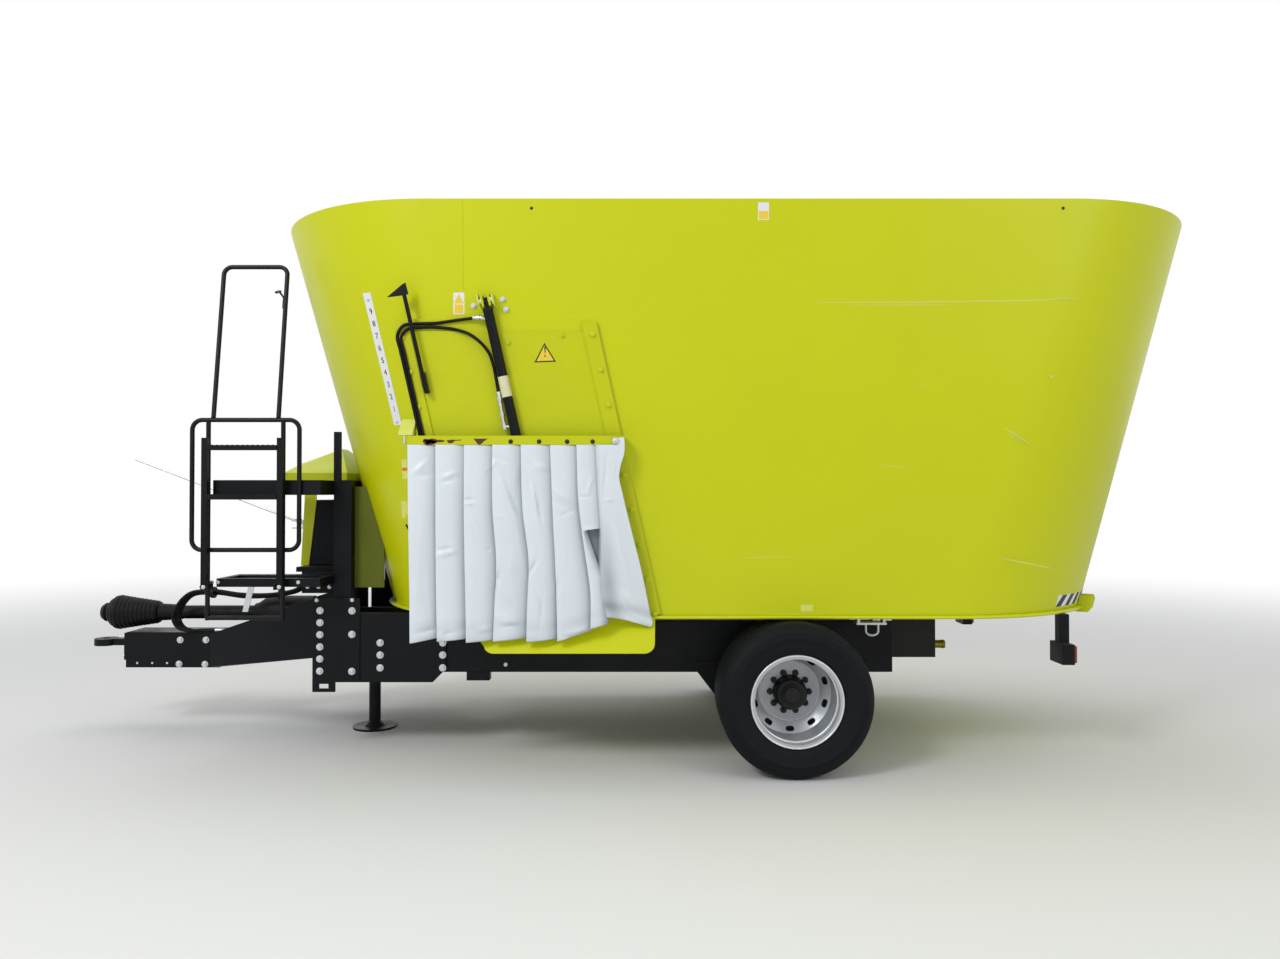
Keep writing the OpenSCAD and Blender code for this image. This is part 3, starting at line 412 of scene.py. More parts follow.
FINISH = {
    "tub_paint": tub_enamel, "door_paint": door_enamel, "frame_paint": chassis_paint, "tube_paint": tube_coat,
    "curtain_cloth": curtain_cloth, "rubber_hose": hose_rubber, "guard_plastic": guard_poly,
    "scale_plate": white_plate, "zinc_steel": zinc, "auger_steel": worn_steel, "rod_chrome": chrome,
    "tyre_rubber": tyre_rubber, "rim_silver": wheel_silver, "cast_housing": cast_iron, "lamp_red": lamp_red,
}
# Width of the broken edges, in mm
PLATE_EDGE = {1: ["door_pointer"], 2: ["front_plates", "load_cells", "towing_eye", "tub_floor"],
              1.5: ["door_plate", "door_rails", "curtain_bar", "chute", "platform", "tub_brackets", "ladder_fold",
                    "hose_holder"],
              3: ["gantry", "drawbar", "axle_beam", "rear_brackets", "hood_cover"], 4: ["frame_beams"],
              6: ["oil_tank", "rear_lamps"]}
EDGE_OF = {name: width for width, names in PLATE_EDGE.items() for name in names}
slots = {row["node"]: row["material_slot"] for row in frame["record"]["subparts"]}
OWN_FINISH = {"hood_cover": hood_enamel, "tub_brackets": dusty_and_shaded_enamel}
for name, node in frame["nodes"].items():
    node.data.materials.clear()
    node.data.materials.append(OWN_FINISH.get(name, FINISH[slots[name]]))
    add_smoothing(node)
    if name in EDGE_OF:
        add_bevel(node, EDGE_OF[name])

# Sizes shared with the CAD, in mm

AUGER_F, AUGER_R = -420.0, 1930.0
WALL_Z, WALL_H = 902.0, 2348.0
BOT_R, RIM_R = 1100.0, 1050.0
RIM_X0, RIM_X1, RIM_Y = -1090.0, 2550.0, 190.0
TILT = math.atan(140 / WALL_H)
SLANT = math.radians(12.4)
LEAN = math.tan(SLANT)
DOOR_X, BED = -323.0, 3.0
WHEEL_X, WHEEL_Z, WHEEL_OUT = 1005.0, 437.5, 1275.0


def on_wall(x, y, out):
    """Place on the left wall: x rearward, y up the wall, out square to it."""
    return np.stack([x + 0 * y, -BOT_R - y * math.sin(TILT) - out * math.cos(TILT),
                     WALL_Z + y * math.cos(TILT) - out * math.sin(TILT)], -1)


def tub_ring(t, inset, per_corner=48):
    """Outline of the tub at height share t: four arcs, each about its own centre, the straight walls between."""
    a = np.linspace(0, np.pi / 2, per_corner)
    angle = np.concatenate([a + k * np.pi / 2 for k in range(4)])
    rear = np.repeat([True, False, False, True], per_corner)
    side = np.repeat([1.0, 1.0, -1.0, -1.0], per_corner)
    x0, x1 = np.where(rear, AUGER_R, AUGER_F), np.where(rear, RIM_X1, RIM_X0)
    r = BOT_R + (RIM_R - BOT_R) * t - inset
    return np.stack([x0 + (x1 - x0) * t + r * np.cos(angle), side * RIM_Y * max(t, 0) + r * np.sin(angle),
                     WALL_Z + WALL_H * t + 0 * angle], -1)


def tub_curve(degrees, z, out):
    """Place on the tub's round ends; degrees run from the rear end towards the right side."""
    angle = np.radians(degrees)
    t = (z - WALL_Z) / WALL_H
    rear, side = np.cos(angle) > 0, np.sign(np.sin(angle))
    x = np.where(rear, AUGER_R + (RIM_X1 - AUGER_R) * t, AUGER_F + (RIM_X0 - AUGER_F) * t)
    r = BOT_R + (RIM_R - BOT_R) * t + out
    return np.stack([x + r * np.cos(angle), side * RIM_Y * t + r * np.sin(angle), z + 0 * angle], -1)


def on_side(x, z, out):
    """Place on the tub's left side, flat or rounded: y follows from the circle of the nearer end."""
    t = (z - WALL_Z) / WALL_H
    front, rear = AUGER_F + (RIM_X0 - AUGER_F) * t, AUGER_R + (RIM_X1 - AUGER_R) * t
    beyond = np.maximum(0, front - x) + np.maximum(0, x - rear)
    r = BOT_R + (RIM_R - BOT_R) * t + out
    return np.stack([x + 0 * z, -(RIM_Y * t + np.sqrt(r ** 2 - beyond ** 2)), z + 0 * x], -1)


LEFT = (0, -1, 0)

# Tub: wall solid and door bed, less the load space and the opening

def cut(obj, other, operation):
    """Joins or cuts obj with another closed mesh, keeps the result as its mesh, and removes the other."""
    modifier = obj.modifiers.new("cut", "BOOLEAN")
    modifier.operation = operation
    modifier.object = other
    modifier.solver = "EXACT"
    bpy.context.view_layer.update()
    mesh = bpy.data.meshes.new_from_object(obj.evaluated_get(bpy.context.evaluated_depsgraph_get()))
    obj.modifiers.clear()
    obj.data = mesh
    bpy.data.objects.remove(other)


def raw(name, part):
    """A plain closed mesh with its doubled points joined, to cut with."""
    obj = mesh_object(name, part)
    form = bmesh.new()
    form.from_mesh(obj.data)
    bmesh.ops.remove_doubles(form, verts=form.verts, dist=0.00001)
    form.to_mesh(obj.data)
    form.free()
    return obj


def leaning(x0, x1, y0, y1):
    """Corners of a strip on the wall that leans as the door does."""
    return [(DOOR_X + x - LEAN * y, y) for x, y in ((x0, y0), (x1, y0), (x1, y1), (x0, y1))]


tub = raw("tub_skin", capped(np.stack([tub_ring(0, 0), tub_ring(1, 0)]), flip=True))
cut(tub, raw("bed", plate(leaning(-576, 576, 4, 1680), -130, BED, on_wall)), "UNION")
cut(tub, raw("load", capped(np.stack([tub_ring(-0.01, 8), tub_ring(1.01, 8)]), flip=True)), "DIFFERENCE")
cut(tub, raw("opening", plate(leaning(-470, 470, 8, 740), -200, 60, on_wall)), "DIFFERENCE")
tub.data.materials.clear()
tub.data.materials.append(tub_enamel)
add_smoothing(tub)
add_bevel(tub, 1.5)
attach(tub, "root")
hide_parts("tub_shell")

# Augers: a flight whose edge draws in as it climbs, round a closed column

FLIGHT_TURNS, FLIGHT_PITCH, FLIGHT_T, COLUMN_R = 2.4, 640.0, 14.0, 150.0
FLIGHT_Z, EDGE_LOW, EDGE_TOP = 922, 960, 330


def edge_share(degrees):
    """Share of the edge's way in: none for the first 200 degrees, then the 0.9th power of the turn."""
    return np.clip((degrees - 200) / (360 * FLIGHT_TURNS - 200), 0, None) ** 0.9


def flight(x):
    """Flight round x: a line from the column to an edge radius that falls from 960 to 330 mm, turned while it climbs
    640 mm a turn; the lower and upper faces are 14 mm apart."""
    a = np.linspace(0, 360 * FLIGHT_TURNS, 340)[:, None]
    edge = EDGE_LOW + (EDGE_TOP - EDGE_LOW) * edge_share(a)
    z = FLIGHT_Z + FLIGHT_PITCH * a / 360
    r = np.concatenate([0 * a + COLUMN_R - 6, edge, edge, 0 * a + COLUMN_R - 6], 1)
    h = np.concatenate([z, z, z + FLIGHT_T, z + FLIGHT_T], 1)
    c, s = np.cos(np.radians(a)), np.sin(np.radians(a))
    return capped(np.stack([x + r * c, r * s, h], -1))


def column(x):
    """Closed tube with a welded cap."""
    rows = [(0.1, 914), (COLUMN_R, 914), (COLUMN_R, 2664), (COLUMN_R - 10, 2674), (0.1, 2674)]
    return lathe(rows, 64, (x, 0, 0), "z", flip=True)


def knife_places():
    """Places of the seven knife pads: angle, radius and height of the flight there."""
    angle = 100 + np.arange(7) * 110.0
    r = EDGE_LOW - (EDGE_LOW - EDGE_TOP) * edge_share(angle) - 110
    z = FLIGHT_Z + FLIGHT_PITCH * angle / 360 + FLIGHT_T
    return angle, r, z


def pads(x, outline, lo, hi):
    """The outline as a plate at each knife place, tipped with the flight."""
    made = []
    for angle, r, z in zip(*knife_places()):
        tip = math.atan(FLIGHT_PITCH / (2 * math.pi * r))
        turn = math.radians(angle)

        def place(a, b, h, r=r, z=z, tip=tip, turn=turn):
            """Place on a pad: a outwards, b along the flight, h square to it."""
            rad = r + a
            along = b * math.cos(tip) - h * math.sin(tip)
            up = z + b * math.sin(tip) + h * math.cos(tip)
            return np.stack([x + rad * math.cos(turn) - along * math.sin(turn),
                             rad * math.sin(turn) + along * math.cos(turn), up], -1)
        made.append(plate(outline, lo, hi, place))
    return joined(made)


HEXAGON = [(15 * math.cos(math.radians(60 * k)), 15 * math.sin(math.radians(60 * k))) for k in range(6)]
for end, x, body in (("front", AUGER_F, "front_auger"), ("rear", AUGER_R, "rear_auger")):
    whole = joined([flight(x), column(x), pads(x, [(-70, -50), (80, -50), (80, 50), (-70, 50)], -10, 10)])
    piece(f"auger_screw_{end}", whole, worn_steel, body, [f"auger_{end}"])
    heads = [pads(x, [(a + dx, b + dy) for dx, dy in HEXAGON], 20.4, 31)
             for a, b in ((-40, -22), (-40, 26), (20, 4))]
    piece(f"knife_bolts_{end}", heads, black_steel, body)
    lid = [(0.5, 2673), (96, 2673), (96, 2688), (90, 2694), (0.5, 2694)]
    around = [(x + 74 * math.cos(a), 74 * math.sin(a), 2694) for a in np.arange(6) * np.pi / 3]
    lid_parts = [lathe(lid, 48, (x, 0, 0), "z", flip=True), studs(around, (0, 0, 1), 17, 9)]
    piece(f"auger_lid_{end}", lid_parts, cast_iron, body)

# Wheels

DISC_DEEP, HUB_DEEP, NUT_CIRCLE = 329.0, 221.0, 113.5


def tyre_profile():
    """Section of the tyre, (radius, depth from the outer sidewall): bead, bulged sidewall with two ribs, shoulder,
    tread with four grooves, and back."""
    half = [(263, 34), (270, 22), (290, 12), (320, 5), (350, 1.5), (352, 0), (360, 0), (362, 2.5), (384, 6), (386, 4.5),
            (394, 7.5), (396, 10), (408, 18), (420, 30), (429, 44), (434, 58)]
    tread = [(436, 70), (437, 92), (437, 95), (426, 98), (426, 108), (437, 111),
             (437.5, 160), (426, 163), (426, 173), (437.5, 176)]
    front = half + tread
    back = [(r, 440 - h) for r, h in front[::-1]]
    inner = [(263, 400), (262, 395), (262, 45), (263, 40)]
    return front + back + inner


def wheel(side):
    """All turned pieces of one wheel; side is -1 left and 1 right."""
    name = "left" if side < 0 else "right"
    body = f"wheel_{name}"

    def spun(rows, sides, closed=True, flip=side < 0):
        """Rows of (radius, depth from the outer sidewall) turned about the wheel's axis."""
        rows = [(r, side * (WHEEL_OUT - deep)) for r, deep in rows]
        return lathe(rows, sides, (WHEEL_X, 0, WHEEL_Z), "y", closed=closed, flip=flip)

    piece(f"tyre_{name}_tread", spun(tyre_profile(), 144), tyre_rubber, body, [f"tyre_{name}"])

    def at(r, degrees, deep):
        """Place on the wheel by radius, angle and depth from the outer sidewall."""
        a = np.radians(degrees)
        return np.array([WHEEL_X + r * math.cos(a), side * (WHEEL_OUT - deep), WHEEL_Z + r * math.sin(a)])

    turns = np.arange(10) * 36.0
    nuts = studs([at(NUT_CIRCLE, a, DISC_DEEP) for a in turns], (0, side, 0), 29, 24, 1.16)
    piece(f"wheel_nuts_{name}", nuts, nut_steel, body)
    beads = []
    for r, deep, thick in ((256, 30, 6), (237, 92, 7.5), (169, 330, 3)):
        a = circle(16)
        ring = [(r + thick * math.cos(t), side * (WHEEL_OUT - deep) + thick * math.sin(t)) for t in a]
        beads.append(lathe(ring, 144, (WHEEL_X, 0, WHEEL_Z), "y", closed=True, flip=True))
    piece(f"rim_beads_{name}", beads, rim_edge, body)
    drum = spun([(166, 352), (228, 352), (232, 356), (232, 436), (166, 436)], 96)
    piece(f"brake_drum_{name}", drum, cast_iron, body)
    stem = [(0, 5), (0.55, 5), (0.55, 7.5), (0.8, 7.5), (0.8, 6), (1, 5.5)]
    piece(f"tyre_valve_{name}", stepped(at(236, 162, 318), at(212, 162, 252), stem), zinc, body)
    cap = [(r, HUB_DEEP - h) for r, h in ((0.5, 0), (46, 0), (50, 4), (50, 10), (44, 15), (20, 17), (0.5, 17))]
    piece(f"hub_cap_{name}", spun(cap, 48, closed=False, flip=side > 0), cast_iron, body)


wheel(-1)
wheel(1)

# Drive shaft guard: rounded bellows, each rib a half wave

SHAFT_Z, SHAFT_FRONT, SHAFT_REAR = 785, -3545, -3005


def bellows():
    """Guard of the drive shaft. A round collar, a body that swells to 118 mm and narrows to 75 with ribs like half
    waves, a step, and a slim sleeve with close ribs that falls from 59 to 50 mm."""
    x = np.linspace(0, 540, 361)
    collar = 56 - 7 * np.cos(np.pi * x / 24)
    swell = 58 + 60 * ramp(x, 46, 64) ** 0.55
    cone = 121 - 46 * ramp(x, 100, 290) ** 0.9
    body = np.minimum(swell, cone) - 6 * np.abs(np.cos(np.pi * (x - 84) / 27)) ** 3
    sleeve = 59 - 9 * (x - 390) / 150 - 2.5 * np.abs(np.cos(np.pi * (x - 390) / 18)) ** 3
    mix = ramp(x, 384, 8)
    r = np.where(x < 46, collar, body * (1 - mix) + sleeve * mix)
    outer = np.stack([r, SHAFT_FRONT + x], -1)
    inner = np.array([(45.5, SHAFT_REAR), (45.5, -3105), (47, -3300), (47, SHAFT_FRONT)])
    return lathe(np.concatenate([outer, inner]), 72, (0, 0, SHAFT_Z), "x", closed=True, flip=True)


piece("shaft_bellows", bellows(), guard_poly, instead_of=["pto_guard"])

# Curtain: seven pleats hang from the bar like overlapping slats, and a last wide one is drawn back to the rear rail

CURTAIN_TOP, CREASE_LIFT = 1868.5, 1.6
PLEAT_Z = (CURTAIN_TOP, 1500, 1200, 980, 760)
PLEAT_X = np.array([
    (-1163, -1155, -1148, -1143, -1141), (-1007, -1003, -999, -996, -993), (-849, -845, -840, -836, -833),
    (-690, -686, -666, -674, -681), (-532, -520, -484, -490, -495), (-369, -352, -336, -329, -327),
    (-221, -206, -170, -144, -142), (-106, -92, -84, -80, -54.0)])
FOOT_LEFT = np.array([766, 776, 771, 777, 774, 777, 847.0])
FOOT_RIGHT = np.array([795, 790, 785, 795, 790, 838, 871.0])
# Cloth across one pleat, from its fold behind to the next: share of the width, shift in mm, share of the depth
PLEAT = [(0, 9, 0), (0, 4, 0.3), (0, -2, 0.66), (0.005, -5, 0.9), (0.05, -3, 1.02), (0.17, 0, 1.08), (0.4, 0, 0.98),
         (0.68, 0, 0.74), (0.88, 2, 0.36), (1, 9, 0)]
# Creases: x, z, direction in degrees from the x axis, half width, half length, height
CREASES = np.array([
    (-604, 1580, -68, 11, 120, 8), (-572, 1560, -68, 13, 110, -6), (-533, 1300, -80, 14, 130, 5),
    (-452, 1548, -81, 9, 100, 7), (-428, 1520, -81, 11, 90, -5), (-420, 1742, -12, 20, 50, 6),
    (-487, 1758, -35, 8, 32, -5), (-285, 1572, -38, 13, 60, 8), (-300, 1530, -30, 12, 55, -5),
    (-276, 1488, 20, 10, 40, -5), (-300, 1260, 88, 20, 110, 3), (-822, 1562, 10, 9, 24, -8),
    (-818, 1540, 4, 9, 26, 6), (-790, 1450, -65, 10, 90, 4), (-712, 1288, 30, 7, 14, -4), (-925, 1702, 22, 12, 42, 6),
    (-940, 1668, 10, 10, 36, -4), (-950, 1262, 12, 11, 42, 9), (-952, 1290, 8, 9, 36, -7),
    (-905, 1290, -60, 9, 32, 6), (-655, 1470, 2, 8, 22, 6), (-664, 1112, 72, 12, 52, -12),
    (-634, 1060, -52, 16, 70, 8), (-585, 1180, 88, 20, 70, 4), (-612, 900, -20, 22, 60, 8),
    (-590, 862, 5, 14, 70, -5), (-468, 1183, 62, 9, 48, -8), (-446, 1000, -72, 13, 70, 6),
    (-420, 930, 85, 10, 80, -4), (-331, 1077, 80, 11, 40, -9), (-318, 1040, 70, 9, 30, 6), (-965, 850, 80, 18, 52, 8),
    (-930, 822, 8, 12, 45, -5), (-1091, 1742, 42, 14, 52, 5), (-1060, 1700, 10, 12, 40, -4),
    (-1045, 836, 12, 14, 52, -7), (-1100, 1180, 86, 18, 200, 3), (-150, 1400, 4, 9, 40, 8),
    (-180, 1580, 0, 7, 30, -5), (-150, 1640, 75, 10, 60, 5), (-196, 838, 14, 12, 50, 8), (-236, 800, -8, 10, 60, -5),
    (-740, 845, 6, 14, 60, 6), (-800, 1000, 84, 14, 120, 4), (-700, 1750, 40, 12, 40, 5),
    (-650, 1790, -20, 10, 40, -4), (-560, 1700, 82, 12, 60, 4), (-1060, 1000, -80, 14, 90, -3),
    (60, 1010, -48, 20, 60, 6), (-10, 1080, -60, 26, 110, -8), (120, 900, -28, 12, 70, 6), (-40, 1560, 2, 7, 30, 4),
    (-62, 1700, 86, 10, 90, -4), (20, 1300, -76, 16, 150, 4)])


def creases(x, z):
    """Height of the creases: the sum of ridges, each a bell across its width and along its length."""
    height = 0 * x
    for cx, cz, degrees, wide, long, up in CREASES:
        c, s = math.cos(math.radians(degrees)), math.sin(math.radians(degrees))
        along, across = (x - cx) * c + (z - cz) * s, (z - cz) * c - (x - cx) * s
        height = height + CREASE_LIFT * up * np.exp(-(along / long) ** 2 - (across / wide) ** 2)
    return height


def pleats():
    """Surface of the seven pleats. Rows go down the cloth; each pleat's section is laid between its own edges, which
    run down on smooth curves, and the depth grows from the bar. The last one is torn short of the wide one."""
    rows, per = 130, 30
    v = np.linspace(0, 1, rows)
    section = smooth_path(np.array(PLEAT) * [150, 1, 30], per) / [150, 1, 30]
    edge = np.stack([smooth_path(list(zip(x, PLEAT_Z)), rows)[:, 0] for x in PLEAT_X], 1)
    drop = CURTAIN_TOP - 1100 * v
    edge[:, 7] -= np.where(drop < 1352, 92 * ramp(drop, 1060, 292) ** 0.8, 0)
    left, wide = edge[:, :7, None], np.diff(edge, axis=1)[:, :, None]
    share, shift, depth = section.T
    k = np.arange(7)[None, :, None]
    sway = 2.5 * np.sin(5 * v[:, None, None] + 1.7 * k) * v[:, None, None]
    x = left + share * wide + shift + sway
    low = (FOOT_LEFT + (FOOT_RIGHT - FOOT_LEFT) * share[:, None]).T
    z = CURTAIN_TOP + (low[None] - CURTAIN_TOP) * v[:, None, None]
    deep = 15 + 18 * np.minimum(1, 2.5 * v[:, None, None]) + 3 * np.sin(2.3 * k + 4 * v[:, None, None])
    out = 1236 + deep * depth + creases(x, z) * np.minimum(1, depth * 1.4)
    foot = 0.5 * bell(v, 1, 0.025) + 0.25 * bell(v, 0.93, 0.03)
    # Painted shade where the cloth runs back into each fold, and dirt along the foot
    shade_and_soil = ((np.clip(1.02 - depth, 0, 1) ** 1.3)[None, None, :]
            + foot[:, None, None] * (0.4 + 0.6 * np.sin(1.9 * k + 3 * share) ** 2))
    surface = np.stack([x, -np.clip(out, 1233.5, 1275), z], -1).reshape(rows, 7 * per, 3)
    return surface, shade_and_soil.reshape(rows, 7 * per)


def last_pleat():
    """Surface of the wide pleat: its edges are curves, it swings back as the height's 1.5th power and towards the rear
    edge, with a hollow in its lower part; its upper rear corner is wrapped over the bar's end. Before its near edge it
    is folded back behind the seventh pleat."""
    v = np.linspace(0, 1, 120)[:, None]
    u = np.concatenate([np.linspace(-0.68, -0.03, 8), np.linspace(0, 1, 46)])[None, :]
    back, u_out = np.clip(-u / 0.12, 0, 1), np.clip(u, 0, 1)
    near = smooth_path([(-112, 1868), (-100, 1600), (-84, 1365), (-82, 1100), (-78, 1000), (-50, 905)], 120)[:, :1]
    far = smooth_path([(42, 1868), (43, 1790), (20, 1712), (13, 1670), (34, 1560), (78, 1384), (136, 1164), (186, 925),
                       (198, 862), (190, 850)], 120)[:, :1]
    x = near + (far - near) * u
    wrap = ramp(u, 0.72, 0.08)
    top = CURTAIN_TOP + 40 * wrap ** 2 * (3 - 2 * wrap)
    foot = 908 - 64 * u_out ** 1.3
    z = top + (foot - top) * v
    hollow = 16 * bell(u, 0.4, 0.25) * v ** 3
    hem = 7 * bell(v, 1, 0.02)
    out = 1260 - v ** 1.5 * (14 + 78 * u_out ** 1.2) - hollow + hem + creases(x, z) + 5 * bell(u, 0, 0.04)
    # Painted shadow on the strip folded back behind the seventh pleat, painted shade in the hollow, and a darker band
    # just above the hem
    shade_and_soil = (1.7 * back + 0.8 * bell(u, 0.13, 0.2) * ramp(v, 0.4, 0.4)
            + 0.5 * bell(v, 0.93, 0.03))
    return np.stack([x, -(out * (1 - back) + (1226 - 8 * v) * back), z], -1), shade_and_soil


for name, (cloth, shade_and_soil) in (("discharge_curtain", pleats()), ("curtain_last_pleat", last_pleat())):
    made = piece(name, grid(cloth), curtain_cloth, instead_of=["curtain"])
    # Painted shade and dirt go on each piece as a point attribute that the cloth finish reads
    made.data.attributes.new("shade_and_soil", "FLOAT", "POINT").data.foreach_set("value", shade_and_soil.ravel().astype(np.float32))
    thick = made.modifiers.new("cloth_thickness", "SOLIDIFY")
    thick.thickness = 0.0022
    thick.offset = 0
    across = np.linalg.norm(np.diff(cloth, axis=1), axis=2).sum(1)
    down = np.linalg.norm(np.diff(cloth, axis=0), axis=2).sum(0)
    side_a, side_b = np.diff(cloth, axis=0)[:, :-1], np.diff(cloth, axis=1)[:-1]

# Rolled edge of the floor's lip, where the paint is rubbed pale

def lip_edge():
    """Round bead of 6 mm along the outline of the floor's lip: two half circles joined by straight lines."""
    a = circle(192)[:, None] + np.pi / 192
    b = circle(10)[None, :]
    r = BOT_R + 24 + 6 * np.cos(b)
    centre = np.where(np.cos(a) > 0, AUGER_R, AUGER_F)
    return grid(np.stack([centre + r * np.cos(a), r * np.sin(a), 892 + 6 * np.sin(b) + 0 * a], -1), True, True)


piece("lip_edge", lip_edge(), hood_enamel)

# Door gear: bolts, scale figures, signs, hoses and fittings on the left wall

def on_lean(x, y, out):
    """Place on the door's bed: x rearward from the leaning centre line, y up the wall, out from the bed."""
    return on_wall(DOOR_X + x - LEAN * y, y, out + BED)


OUT = -np.array([0, math.cos(TILT), math.sin(TILT)])
RAIL_TOP = 19.2
ROW_0, ROW_STEP = 13.0, 197.4
rows = ROW_0 + ROW_STEP * np.arange(9)
rail_places = np.concatenate([on_lean(538, rows, RAIL_TOP), on_lean(-536, rows - 14, RAIL_TOP)[1:]])
piece("rail_bolts", studs(rail_places, OUT, 24, 11, 1.35), tub_enamel)
door_places = on_lean(np.array([50, 363.0]), np.array([1548, 1588.0]), 8.6)
piece("door_bolts", studs(door_places, OUT, 20, 10, 1.5), door_enamel, "door")
clevis_places = on_lean(np.array([-98, 74, 80.0]), np.array([1755, 1790, 1734.0]), 0)
piece("clevis_bolts", studs(clevis_places, OUT, 20, 13, 1.4), zinc)
LEAN_SIDE = np.array([math.cos(SLANT), -math.sin(SLANT) * math.sin(TILT), math.sin(SLANT) * math.cos(TILT)])
pin = on_lean(-19, 1778, 37)
piece("clevis_nuts", [studs([pin + s * 27 * LEAN_SIDE], s * LEAN_SIDE, 24, 14) for s in (1, -1)], zinc)

ears = [plate([(1742, 0.2), (1822, 0.2), (1812, 58), (1758, 58)], x - 4, x + 4, lambda y, n, x: on_lean(x, y, n))
        for x in (-60, 22)]
piece("clevis_ears", ears, pale_enamel, bevel=1)
# Painted shade: a dark olive ring under each rail bolt's washer
rings = [stepped(p, p + OUT * 0.6, [(0, 18.5), (1, 18)], 20) for p in rail_places]
piece("rail_bolt_shade_rings", rings, bolt_foot_shade)


POINTER_X, POINTER_Y = -464, 1262


def on_pointer(a, b, out):
    """Place in the pointer's own frame, turned with the door's slant about its foot."""
    x = DOOR_X + POINTER_X - LEAN * POINTER_Y + a * math.cos(SLANT) - b * math.sin(SLANT)
    return on_wall(x, POINTER_Y + a * math.sin(SLANT) + b * math.cos(SLANT), out + BED)


head = plate([(-96, 566), (22, 624), (24, 560), (10, 556)], 46.6, 55.8, on_pointer)
piece("pointer_head", head, tube_coat, "door", bevel=1)

BAR_FRONT = -1252.0
bar_places = [(x, BAR_FRONT, 1886) for x in (-591, -433, -277, -135)]
piece("bar_bolts", studs(bar_places, LEFT, 15, 7, 1.5), black_steel)
piece("bar_end_bolt", studs([(-8, BAR_FRONT - 16, 1891)], LEFT, 20, 9, 1.6), zinc)


def on_bar(x, z, out):
    """Place on the front of the curtain bar."""
    return np.stack([x + 0 * z, BAR_FRONT - out + 0 * z, z], -1)


TAPE = [
    [(-1080, 1897), (-1052, 1894), (-1040, 1898), (-1012, 1890), (-990, 1897), (-962, 1894), (-956, 1889), (-972, 1884),
     (-1000, 1882), (-1012, 1874), (-1026, 1872), (-1030, 1880), (-1046, 1873), (-1066, 1872), (-1060, 1882)],
    [(-948, 1893), (-925, 1897), (-880, 1896), (-866, 1898), (-870, 1893), (-902, 1891), (-912, 1880), (-928, 1876),
     (-940, 1880)],
    [(-798, 1902), (-718, 1903), (-740, 1888), (-762, 1867), (-776, 1874)],
    [(-1082, 1886), (-1074, 1902), (-1046, 1900), (-1030, 1904), (-1000, 1898), (-1006, 1884), (-1030, 1868),
     (-1064, 1866)]]
piece("tape_remains", joined([plate(t, 0.1, 0.9, on_bar) for t in TAPE]), tape_brown)


def on_profile(x, z, y):
    """Place of an outline that is drawn in x and z, at y to the left of the centre plane."""
    return np.stack([x, -y, z], -1)


def on_section(y, z, x):
    """Place of a section that is drawn in y and z, at x."""
    return np.stack([x + 0 * y, y, z], -1)


piece("bar_bracket", plate([(-1165, 2018), (-1256, 1938), (-1256, 1921), (-1165, 1921)], -1216, -1136, on_section),
      pale_enamel, bevel=2)
piece("bracket_pin", stepped((-1185, -1246, 1868), (-1185, -1246, 1921), [(0, 6), (0.15, 9), (0.15, 6), (1, 6)]),
      zinc)
piece("latch_rod", tube(on_side(np.linspace(-1262, -1196, 8), np.linspace(1412, 1308, 8), 5.2), 5, 10), tube_coat)

# Scale figures 9 to 1, flat letters raised by 0.6 mm

SCALE_X, SCALE_FOOT, FIGURE_TOP, FIGURE_STEP = DOOR_X - 715.0, 907, 2644, 69.6


def figures():
    """Numbers 9 to 1 down the strip, each outline filled, thickened, and turned with the strip's lean."""
    made = []
    for i in range(9):
        letter = bpy.data.curves.new("figure", "FONT")
        letter.body = str(9 - i)
        letter.size = 46
        letter.extrude = 0.3
        letter.resolution_u = 4
        letter.align_x, letter.align_y = "CENTER", "CENTER"
        holder = bpy.data.objects.new("figure", letter)
        mesh = bpy.data.meshes.new_from_object(holder)
        flat = np.array([v.co for v in mesh.vertices])
        z = FIGURE_TOP - FIGURE_STEP * i + flat[:, 1]
        x = SCALE_X - LEAN * (z - SCALE_FOOT) + flat[:, 0] * 0.85
        points = on_side(x, z, 3.3 + flat[:, 2])
        made.append((points, [np.array([f.vertices[:]]) for f in mesh.polygons]))
        bpy.data.objects.remove(holder)
        bpy.data.curves.remove(letter)
        bpy.data.meshes.remove(mesh)
    return joined(made)


piece("scale_figures", figures(), scale_black, smooth=False)
ends_z = np.array([2714, 2016.0])
ends = on_side(SCALE_X - LEAN * (ends_z - SCALE_FOOT), ends_z, 3.1)
piece("scale_bolts", studs(ends, (-0.45, -0.89, -0.06), 15, 6, 1.3), zinc)

# Signs: blank films, each a rounded plate half a millimetre thick

def rounded(x0, x1, y0, y1, r=8):
    """Rectangle with round corners, six points to each."""
    a = np.radians(np.linspace(0, 90, 6))
    corners = (x1 - r, y1 - r), (x0 + r, y1 - r), (x0 + r, y0 + r), (x1 - r, y0 + r)
    return [(cx + r * math.cos(t + k * math.pi / 2), cy + r * math.sin(t + k * math.pi / 2))
            for k, (cx, cy) in enumerate(corners) for t in a]


def film(name, outline, material, place, out, body="root"):
    """Piece that lies on a surface, from out to half a millimetre more."""
    piece(name, plate(outline, out, out + 0.5, place), material, body)


